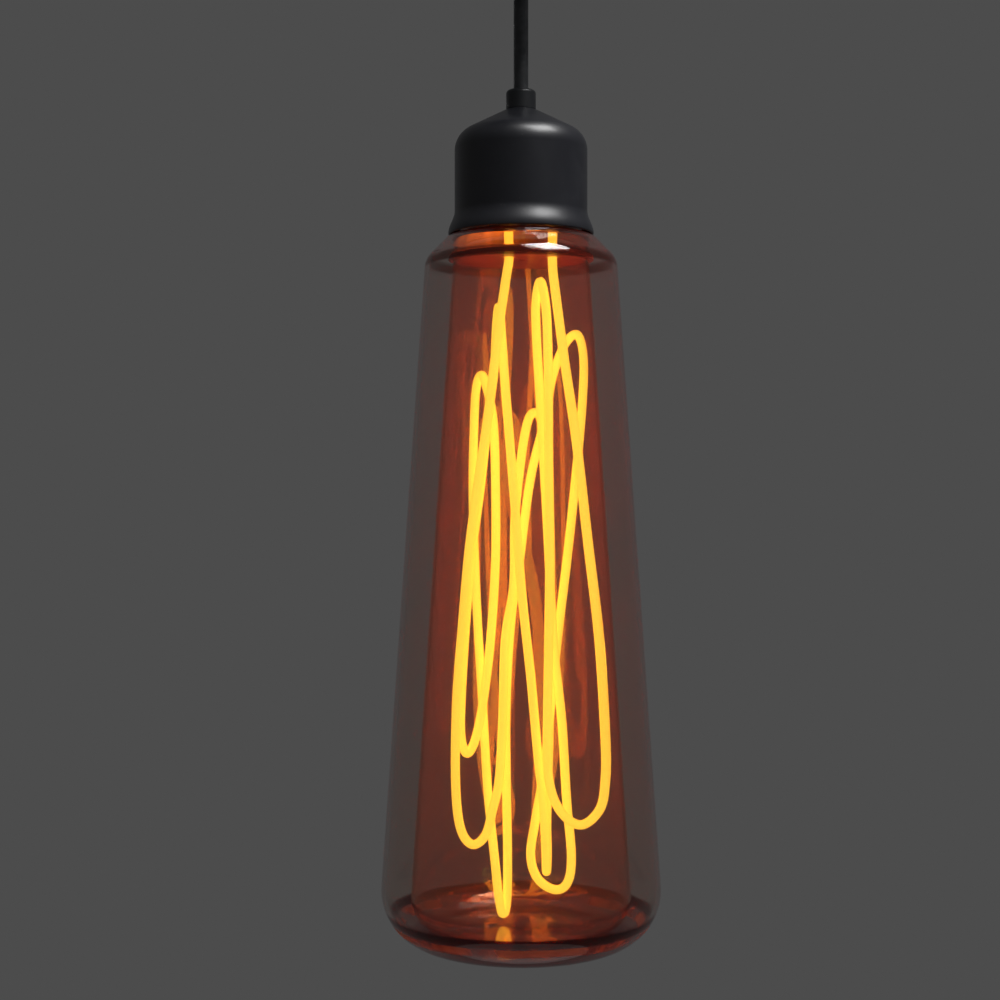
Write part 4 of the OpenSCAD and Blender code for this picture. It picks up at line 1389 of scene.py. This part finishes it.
@dataclass
class Cup:
    """The domed cup with its flared rim."""

    radius: float = 27.2
    wall: float = 1.2
    shoulder: float = 10.0
    slope: float = 27.0
    flat_r: float = 6.1
    rim_r: float = 29.8
    flare: float = 9.0
    flare_rows: int = 24
    hole: float = 5.1

    def _shoulder_centre(self) -> Tuple[float, float]:
        """The centre of the shoulder's arc, which ends the slope below the flat top."""
        lean = math.radians(self.slope)
        x = self.radius - self.shoulder
        fall = (x + self.shoulder * math.sin(lean) - self.flat_r) * math.tan(lean)
        return x, LEVELS.cup - fall - self.shoulder * math.cos(lean)

    def _skirt(self, inset: float) -> Outline:
        """The flared skirt from its upper end to the rim, moved in by inset."""
        low = LEVELS.rim + self.wall / 2
        made: Outline = []
        for k in range(self.flare_rows + 1):
            t = k / self.flare_rows
            swell = (self.rim_r - self.radius) * t * t * (3 - 2 * t)
            made.append((self.radius - inset + swell, low + self.flare * (1 - t)))
        return made

    def build(self, shop: Workshop) -> None:
        """Builds the cup as one spun shell."""
        x, z = self._shoulder_centre()
        half = self.wall / 2
        outline: Outline = [(self.hole, LEVELS.cup), (self.flat_r, LEVELS.cup)]
        outline += arc(x, z, self.shoulder, 90 - self.slope, 0, 28)
        outline += self._skirt(0.0)
        outline += arc(self.rim_r - half, LEVELS.rim + half, half, -10, -170, 10)
        outline += reversed(self._skirt(self.wall))
        outline += arc(x, z, self.shoulder - self.wall, 0, 90 - self.slope, 20)
        end_x, end_z = outline[-1]
        flat = end_x - (LEVELS.ceiling - end_z) / math.tan(math.radians(self.slope))
        outline += [(flat, LEVELS.ceiling), (self.hole, LEVELS.ceiling)]
        made = lathe("cup_shell", outline, 256)
        shop.keep(made, shop.palette.paint, Body.HOLDER, "cup")


@dataclass
class Lampholder:
    """The porcelain lampholder inside the cup."""

    strap_x: float = 17.5
    strap_z: float = LEVELS.insert + 1.2
    strap_screw: ScrewPattern = ScrewPattern(3.0, 9.0)
    clamp_y: float = 14.0
    clamp_z: float = LEVELS.insert + 4.2
    clamp_screw: ScrewPattern = ScrewPattern(2.4, 0.85, cross=False)

    def build(self, shop: Workshop) -> None:
        """Dresses the fittings and builds their screws."""
        p = shop.palette
        shop.dress(p.zinc, "nipple", "lock_nut", "strap")
        shop.dress(p.porcelain, "lampholder_insert")
        shop.dress(p.brass, "contact_bush", "live_link", "neutral_rivet", "terminals")
        shop.screws(
            "strap_screws", self.strap_screw,
            [(self.strap_x, 0.0, self.strap_z), (-self.strap_x, 0.0, self.strap_z)],
            [UP] * 2, p.zinc, Body.HOLDER, seed=7,
        )
        shop.screws(
            "terminal_screws", self.clamp_screw,
            [(0.0, self.clamp_y, self.clamp_z), (0.0, -self.clamp_y, self.clamp_z)],
            [UP] * 2, p.zinc, Body.HOLDER, seed=11,
        )


Row = Callable[[float], Tuple[float, float]]


@dataclass
class ScrewThreads:
    """The cap's thread and the holder's, both the same right-handed wave.

    A shell is a list of rows, each of which gives a (radius, height) for an angle.
    """

    pitch: float = 3.629
    amp: float = 0.45
    cap_mean: float = 12.65
    cap_bore: float = 11.8
    skirt_r: float = 13.2
    skirt_h: float = 2.2
    bevel: float = 0.15
    fade: float = 0.41
    play: float = 0.22
    holder_out: float = 14.02
    floor_r: float = 11.0
    floor_t: float = 0.6
    plain_h: float = 3.0
    land: float = 0.3
    sunk: float = 0.05
    columns: int = 120
    rows_per_turn: int = 20

    def _wave(self, z: float, mean: float, limit: float) -> Row:
        """A row of a thread, cut off at a radius."""
        turn = 2.0 * math.pi * (z - LEVELS.cap_rim) / self.pitch
        return lambda angle: (min(limit, mean + self.amp * math.cos(turn - angle)), z)

    def _cap_row(self, z: float) -> Row:
        """A row of the cap's thread, which fades near the top."""
        faded = self.cap_mean - self.amp + (LEVELS.shell_top - z) * self.fade
        return self._wave(z, self.cap_mean, min(self.skirt_r, faded))

    def _holder_row(self, z: float) -> Row:
        """A row of the holder's thread."""
        mean = self.cap_mean + self.play
        return self._wave(z, mean, mean + self.amp)

    def _shell(self, name: str, rows: Sequence[Row]) -> bpy.types.Object:
        """Closes rows round the axis into one skin."""
        n, m = self.columns, len(rows)
        angles = [2.0 * math.pi * k / n for k in range(n)]
        points = [ring_point(*row(angle), angle) for row in rows for angle in angles]
        faces = [
            (i * n + k, i * n + (k + 1) % n, (i + 1) % m * n + (k + 1) % n, (i + 1) % m * n + k)
            for i in range(m)
            for k in range(n)
        ]
        return closed_mesh(name, points, faces, 50.0)

    @staticmethod
    def _plain(*line: Tuple[float, float]) -> List[Row]:
        """Plain round rows through the points of an outline."""
        return [lambda angle, point=point: point for point in line]

    def _cap(self) -> List[Row]:
        """The cap's shell, from its bore round the skirt and up the thread."""
        low = LEVELS.cap_rim + self.skirt_h
        step = self.pitch / self.rows_per_turn
        count = int((LEVELS.shell_top - self.land - low) / step)
        skirt = self._plain(
            (self.cap_bore, LEVELS.shell_top), (self.cap_bore, LEVELS.cap_rim),
            (self.skirt_r - self.bevel, LEVELS.cap_rim),
            (self.skirt_r, LEVELS.cap_rim + self.bevel), (self.skirt_r, low - self.land),
        )
        thread = [self._cap_row(low + k * step) for k in range(count + 1)]
        return skirt + thread + self._plain(
            (self.cap_mean - self.amp - self.sunk, LEVELS.shell_top)
        )

    def _holder(self) -> List[Row]:
        """The holder's shell, up its outside, over its floor and down the thread."""
        low = LEVELS.cap_rim + self.skirt_h + self.land
        top = LEVELS.shell_top + self.plain_h
        plain = self.cap_mean + self.play + self.amp + self.sunk
        step = self.pitch / self.rows_per_turn
        under = LEVELS.floor - self.floor_t
        shell = self._plain(
            (self.holder_out, low), (self.holder_out, LEVELS.floor), (self.floor_r, LEVELS.floor),
            (self.floor_r, under), (plain, under), (plain, top),
        )
        count = int((top - low) / step)
        return shell + [self._holder_row(low + k * step) for k in range(count, -1, -1)]

    def build(self, shop: Workshop) -> None:
        """Builds both threaded shells."""
        made = self._shell("cap_shell_thread", self._cap())
        shop.keep(made, shop.palette.nickel, Body.BULB, "cap_shell")
        made = self._shell("holder_shell_thread", self._holder())
        shop.keep(made, shop.palette.brass, Body.HOLDER, "holder_shell")


@dataclass
class CentreContact:
    """The sprung plunger in the holder, and the bulb's button under it."""

    coil_r: float = 2.35
    wire_r: float = 0.2
    turns: float = 2.5
    low: float = -110.05
    high: float = -107.75
    wire_sides: int = 12
    head_t: float = 1.2
    travel: float = 0.8

    def build(self, shop: Workshop) -> None:
        """Dresses the contacts and winds the spring, which rides on the plunger."""
        shop.dress(shop.palette.brass, "contact_plunger")
        shop.dress(shop.palette.solder, "contact_button")
        inputs = {
            "Coil Radius": self.coil_r * MM,
            "Height": (self.high - self.low) * MM,
            "Turns": self.turns,
            "Wire Radius": self.wire_r * MM,
            "Base Height": self.low * MM,
            "Sides": self.wire_sides,
            "Finish": shop.palette.spring.material(),
        }
        base = point_mesh([(0.0, 0.0, 0.0)])
        made = outward(shop.trees[TreeKind.COIL].run("contact_spring_coil", base, inputs))
        shop.keep(made, shop.palette.spring, Body.PLUNGER, "contact_spring")
        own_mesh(made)


@dataclass
class BulbFittings:
    """What closes the bulb's cap, and the stem and the plate that carry the inner glass."""

    def build(self, shop: Workshop) -> None:
        """Dresses the fittings."""
        p = shop.palette
        shop.dress(p.vitrite, "cap_insulator")
        shop.dress(p.cement, "cap_cement")
        shop.dress(p.clear, "stem", "exhaust_tube")
        shop.dress(p.plate, "mount_plate")
        # the ferrules and the leads have a painted glow near the filament
        shop.dress(p.ferrule, "ferrules")
        shop.dress(p.wire, "lead_live", "lead_neutral")


def blown(name: str, outside: Outline, wall: float, top: float) -> bpy.types.Object:
    """Blows an envelope from its outer side.

    Args:
        name: the piece's name.
        outside: the outer side from the mouth down to the foot's centre.
        wall: the wall's thickness.
        top: the height of the mouth.

    Returns:
        The envelope as one closed wall.
    """
    inside = moved_in(outside, -wall)
    inside[0] = (outside[0][0] - wall, top)
    inside[-1] = (0.0, outside[-1][1] + wall)
    return lathe(name, outside + inside[::-1], 224, 50.0)


def round_foot(radius: float, low: float, corner: float, taper: float, steps: int) -> Outline:
    """The rounded heel of an envelope and its flat foot, to the centre.

    Args:
        radius: the foot's radius without its rounding.
        low: the foot's height.
        corner: the heel's radius.
        taper: how far the side leans, in degrees.
        steps: how many rows the heel has.

    Returns:
        The outline.
    """
    heel = arc(radius - corner, low + corner, corner, taper, -90.0, steps)
    return heel[:-1] + straight(heel[-1], (0.0, heel[-1][1]), FOOT_ROWS) + [(0.0, heel[-1][1])]


@dataclass
class OuterGlass:
    """The smoked outer envelope."""

    neck_r: float = 11.0
    neck_drop: float = 0.5
    foot_r: float = 57.2
    shoulder_r: float = 39.5
    corner: float = 23.6
    bend: float = 8.7
    slope: float = 46.0
    wall: float = 1.8
    brow_r: float = 21.0
    brow_drop: float = 1.6
    brow_soft: float = 1.6
    rim_r: float = 30.0
    rim_gap: float = 0.7
    length: float = 291.0
    ends: float = 40.0

    def _side(self) -> Outline:
        """The outer side from the neck's edge down to the foot's centre."""
        taper = math.degrees(math.atan((self.foot_r - self.shoulder_r) / (self.length - self.ends)))
        turn = 90.0 - self.slope
        rim_z = LEVELS.rim - self.rim_gap
        bend_x = self.shoulder_r - self.bend * math.cos(math.radians(taper))
        reach = bend_x + self.bend * math.cos(math.radians(turn)) - self.rim_r
        fall = reach * math.tan(math.radians(self.slope))
        bend_z = rim_z - fall - self.bend * math.sin(math.radians(turn))
        bend = arc(bend_x, bend_z, self.bend, turn, taper, 28)
        neck: Outline = [
            (self.neck_r, LEVELS.neck), (self.neck_r, LEVELS.cap_rim - self.neck_drop),
            (self.brow_r, LEVELS.rim + self.brow_drop), (self.rim_r, rim_z), bend[0],
        ]
        foot = round_foot(self.foot_r, LEVELS.glass, self.corner, taper, 64)
        line = softened(neck, self.brow_soft)[:-1] + bend[:-1]
        return line + straight(bend[-1], foot[0], SIDE_ROWS) + foot

    def build(self, shop: Workshop) -> None:
        """Builds the envelope as one blown wall."""
        made = blown("outer_envelope", self._side(), self.wall, LEVELS.neck)
        shop.keep(made, shop.palette.smoked, Body.BULB, "outer_glass")


@dataclass
class InnerGlass:
    """The reddish inner envelope that closes against the mount plate."""

    top_r: float = 27.8
    top_gap: float = 0.05
    foot_r: float = 45.0
    corner: float = 12.0
    wall: float = 1.2

    def build(self, shop: Workshop) -> None:
        """Builds the envelope as one blown wall."""
        top = LEVELS.plate - self.top_gap
        rise = LEVELS.plate - LEVELS.inner - self.corner
        taper = math.degrees(math.atan((self.foot_r - self.top_r) / rise))
        foot = round_foot(self.foot_r, LEVELS.inner, self.corner, taper, 48)
        line = straight((self.top_r, top), foot[0], SIDE_ROWS) + foot
        made = blown("inner_envelope", line, self.wall, top)
        shop.keep(made, shop.palette.amber, Body.BULB, "inner_glass")


@dataclass
class GlassCollar:
    """The short glass cone that stands on the plate, round the ends of the filament's legs."""

    foot_r: float = 29.6
    top_r: float = 27.5
    wall: float = 1.2
    foot: float = -151.85
    top: float = -146.3
    edge_flat: float = 0.01

    def build(self, shop: Workshop) -> None:
        """Builds the cone with rounded edges."""
        soft = self.wall / 2 - self.edge_flat
        lean = math.degrees(math.atan((self.foot_r - self.top_r) / (self.top - self.foot)))
        low = arc(self.foot_r - soft, self.foot + soft, soft, -180.0, lean, 10)
        high = arc(self.top_r - soft, self.top - soft, soft, lean, 180.0, 10)
        made = lathe("collar_cone", low + high, 160, 50.0)
        # the collar's finish carries a painted glow near the filament's leg
        shop.keep(made, shop.palette.collar, Body.BULB, "glass_collar")


@dataclass
class Filament:
    """The glowing filament: one unbroken tube in six tall loops.

    A point of the route is across, towards the back, and down from the mount plate.
    """

    radius: float = 1.85
    sides: int = 20
    steps: int = 7
    route: Tuple[Point, ...] = (
        # first lead, down the right side
        (12.5, -9, -9), (12.5, -9, -2.7), (12.5, -9, 1.5), (12.8, -9.8, 7), (14, -12, 17.5),
        (17, -15, 42), (21.5, -17, 74), (26, -17, 114), (30.5, -17, 154), (33, -17, 194),
        (33, -17, 211), (31, -16.5, 222), (24, -15, 228.5), (16.5, -12.5, 224.5),
        # up to the tallest peak
        (11.8, -11, 214.5), (10.5, -10, 199), (11, -10, 158.5), (11.5, -10, 118), (11, -10, 82),
        (10.8, -10, 44), (10, -9, 21), (7.8, -7, 9.5),
        # down to the lowest right loop
        (6, -5, 18.5), (6.5, -4.5, 37), (8.5, -4.5, 69.5), (11, -4.5, 114.5), (13, -4.5, 155),
        (16.5, -4.5, 187.5), (18.5, -4.5, 220), (20.5, -4, 243), (19, -3, 254), (14, -1, 257.5),
        (7, 1, 253.5),
        # up to the second peak on the right
        (4, 2, 244), (6, 2, 229.5), (10, 2, 205), (15, 2, 155.5), (19, 2, 122.5), (22.5, 2, 90),
        (25.5, 2, 57), (26, 3, 39), (23.5, 5, 30),
        # down the middle to the lowest loop
        (18.3, 7, 34), (13, 7, 48), (10, 7, 65), (4, 7, 89.5), (-0.5, 6.5, 123), (-4, 6.5, 147.5),
        (-6, 6.5, 180.5), (-6, 6, 213.5), (-5.5, 4, 242.5), (-5.8, 3, 263), (-7.5, 1, 268),
        # up to the left peak
        (-9.2, 0, 260), (-10.5, 1, 248), (-12.5, 5, 230), (-14, 7, 214), (-16, 9, 181),
        (-18.5, 10, 139.5), (-20, 10, 98), (-19.5, 10, 65), (-18.5, 9, 51), (-16.5, 8, 46.5),
        # down to the short left loop
        (-14.5, 6, 50.5), (-11.5, 5, 65), (-10.5, 5, 89.5), (-10.5, 5, 123), (-12.5, 4, 155.5),
        (-15.5, 3, 180.5), (-18.5, 2, 195.5), (-22, 0.5, 202),
        # up to the middle peak
        (-24.5, -0.5, 195.5), (-24.5, -1, 180), (-22.5, -1, 147), (-20, -1, 118.5), (-17, -1, 96),
        (-13.5, -1, 65), (-11, -1, 45), (-10, -2, 27), (-9, -4, 19.5),
        # down to the middle loop
        (-8, -6.5, 30), (-6.5, -8, 51.5), (-4, -9, 82), (-1.5, -9, 114), (0.5, -9, 138.5),
        (4, -8, 171), (7, -5, 204), (9, -4, 220.5), (10, -3, 239), (10.5, 1, 250.5),
        # up to the low peak
        (11, 6, 244), (11, 11, 229), (12, 14, 198.5), (12.5, 14, 160.5), (12.5, 14, 114.5),
        (11.5, 14, 81.5), (9.2, 12, 66.5), (6, 8, 62),
        # down to the outer left loop
        (2.8, 4, 66), (0, 0, 81.5), (-2.5, 0, 106), (-3, 0, 133), (-6.5, 0, 155.5), (-7.5, 0, 188),
        (-9, 0, 213), (-11.5, -3, 224), (-14.5, -5, 234.5), (-20, -6, 238),
        # second lead, up the left side
        (-24.7, -7.5, 230.5), (-26.5, -8, 211.5), (-26, -8, 179), (-23.5, -8, 146.5),
        (-21, -8.5, 118.5), (-18, -10, 96), (-13.5, -12, 65.5), (-10.5, -13.5, 41.5),
        (-8.5, -13.5, 25.5), (-6, -10.2, 8), (-5, -9, 1.5), (-5, -9, -2.7), (-5, -9, -9),
    )

    def build(self, shop: Workshop) -> None:
        """Builds the filament along its route below the mount plate."""
        points = [(x, y, LEVELS.plate - down) for x, y, down in self.route]
        glow = shop.palette.glow
        made = shop.tube("filament_sleeve", points, self.radius, glow, self.sides, self.steps)
        shop.keep(made, glow, Body.BULB, "filament")


# Studio


@dataclass(frozen=True)
class SoftLight:
    """A square lamp of the studio."""

    name: str
    place: Point
    aim: Point
    size: float
    watts: float
    mirrored: bool = True

    def build(self) -> None:
        """Hangs the lamp, unseen by the camera itself."""
        data = bpy.data.lights.new(self.name, "AREA")
        data.shape = "SQUARE"
        data.size = self.size
        data.energy = self.watts
        made = bpy.data.objects.new(self.name, data)
        bpy.context.scene.collection.objects.link(made)
        made.location = self.place
        made.rotation_mode = "QUATERNION"
        made.rotation_quaternion = (Vector(self.aim) - Vector(self.place)).to_track_quat("-Z", "Y")
        made.visible_camera = False
        made.visible_glossy = self.mirrored
        made.visible_transmission = self.mirrored


@dataclass
class Studio:
    """The camera, the lamps, the grey surround and the pale floor."""

    lens: float = 64.8
    sensor: float = 36.0
    eye: Point = (-0.0086, -0.738, -0.252)
    grey: float = 0.0723
    floor_z: float = -1500.0
    floor_r: float = 640.0
    floor_t: float = 4.0
    lamps: Tuple[SoftLight, ...] = (
        SoftLight("key_softbox", (0.40, -0.27, 0.83), (0.0, 0.0, -0.16), 0.6, 18.0),
        SoftLight(
            "side_softbox", (0.95, -0.25, -0.02), (0.0, 0.0, -0.12), 0.3, 1.6, mirrored=False,
        ),
        SoftLight(
            "back_softbox", (-0.7, 1.0, 0.2), (0.0, 0.0, -0.15), 0.5, 8.0, mirrored=False,
        ),
    )

    def camera(self) -> None:
        """Puts the camera at the photograph's eye, level, looking along +Y."""
        data = bpy.data.cameras.new("camera")
        data.lens = self.lens
        data.sensor_width = self.sensor
        data.clip_start = 0.01
        data.clip_end = 20.0
        made = bpy.data.objects.new("camera", data)
        bpy.context.scene.collection.objects.link(made)
        made.location = self.eye
        made.rotation_euler = (math.pi / 2, 0.0, 0.0)
        bpy.context.scene.camera = made

    def surround(self) -> None:
        """Fills the world with one soft grey."""
        world = bpy.data.worlds.new("studio_grey")
        bpy.context.scene.world = world
        world.use_nodes = True
        world.node_tree.nodes.clear()
        graph = Graph(world.node_tree)
        shade = graph.add("ShaderNodeBackground", {}, {"Color": (self.grey,) * 3, "Strength": 1.0})
        graph.add("ShaderNodeOutputWorld", {}, {"Surface": shade})

    def floor(self) -> None:
        """Lays a plain pale round floor well below the lamp."""
        r, z, half = self.floor_r, self.floor_z, self.floor_t / 2
        outline: Outline = [(0.0, z), (r / 2, z), (r, z), (r + half, z - half)]
        outline += [(r, z - self.floor_t), (0.0, z - self.floor_t)]
        made = lathe("floor", outline, 96)
        material = bpy.data.materials.new("pale_floor")
        material.use_nodes = True
        material.node_tree.nodes.clear()
        graph = Graph(material.node_tree)
        mottle = graph.noise(graph.place(), 0.08, 4.0)
        colour = graph.tint(mottle, (0.60, 0.60, 0.59), (0.66, 0.66, 0.65))
        shade = graph.principled({"Base Color": colour, "Roughness": 0.7})
        graph.add("ShaderNodeOutputMaterial", {}, {"Surface": shade})
        made.data.materials.append(material)

    def bloom(self, strength: float = 0.12, size: float = 0.06) -> None:
        """Lets the filament's light spread a little in the picture, as in a lens."""
        scene = bpy.context.scene
        scene.use_nodes = True
        scene.node_tree.nodes.clear()
        graph = Graph(scene.node_tree)
        layers = graph.add("CompositorNodeRLayers")
        glare = graph.add(
            "CompositorNodeGlare",
            {"glare_type": "BLOOM", "quality": "HIGH"},
            {"Image": layers, "Threshold": 1.0, "Strength": strength, "Size": size},
        )
        graph.add("CompositorNodeComposite", {}, {"Image": glare})

    def build(self) -> None:
        """Sets up the whole studio."""
        self.camera()
        self.surround()
        self.floor()
        for lamp in self.lamps:
            lamp.build()
        self.bloom()
        bpy.context.scene.view_settings.view_transform = "Standard"
        bpy.context.scene.view_settings.look = "None"


def main() -> None:
    """Builds the studio and then every sub-assembly, in order."""
    logging.basicConfig(level=logging.INFO, format="%(name)s: %(message)s")
    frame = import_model()
    shop = Workshop(frame)
    Studio().build()
    parts = (
        PendantCord(), CordEnds(), CeilingRose(), CordGrip(), Cup(), Lampholder(), ScrewThreads(),
        CentreContact(), BulbFittings(), OuterGlass(), InnerGlass(), GlassCollar(), Filament(),
    )
    for part in parts:
        LOG.info("building %s", type(part).__name__)
        part.build(shop)
    LOG.info("%d pieces dressed", shop.count)


if __name__ == "__main__":
    main()
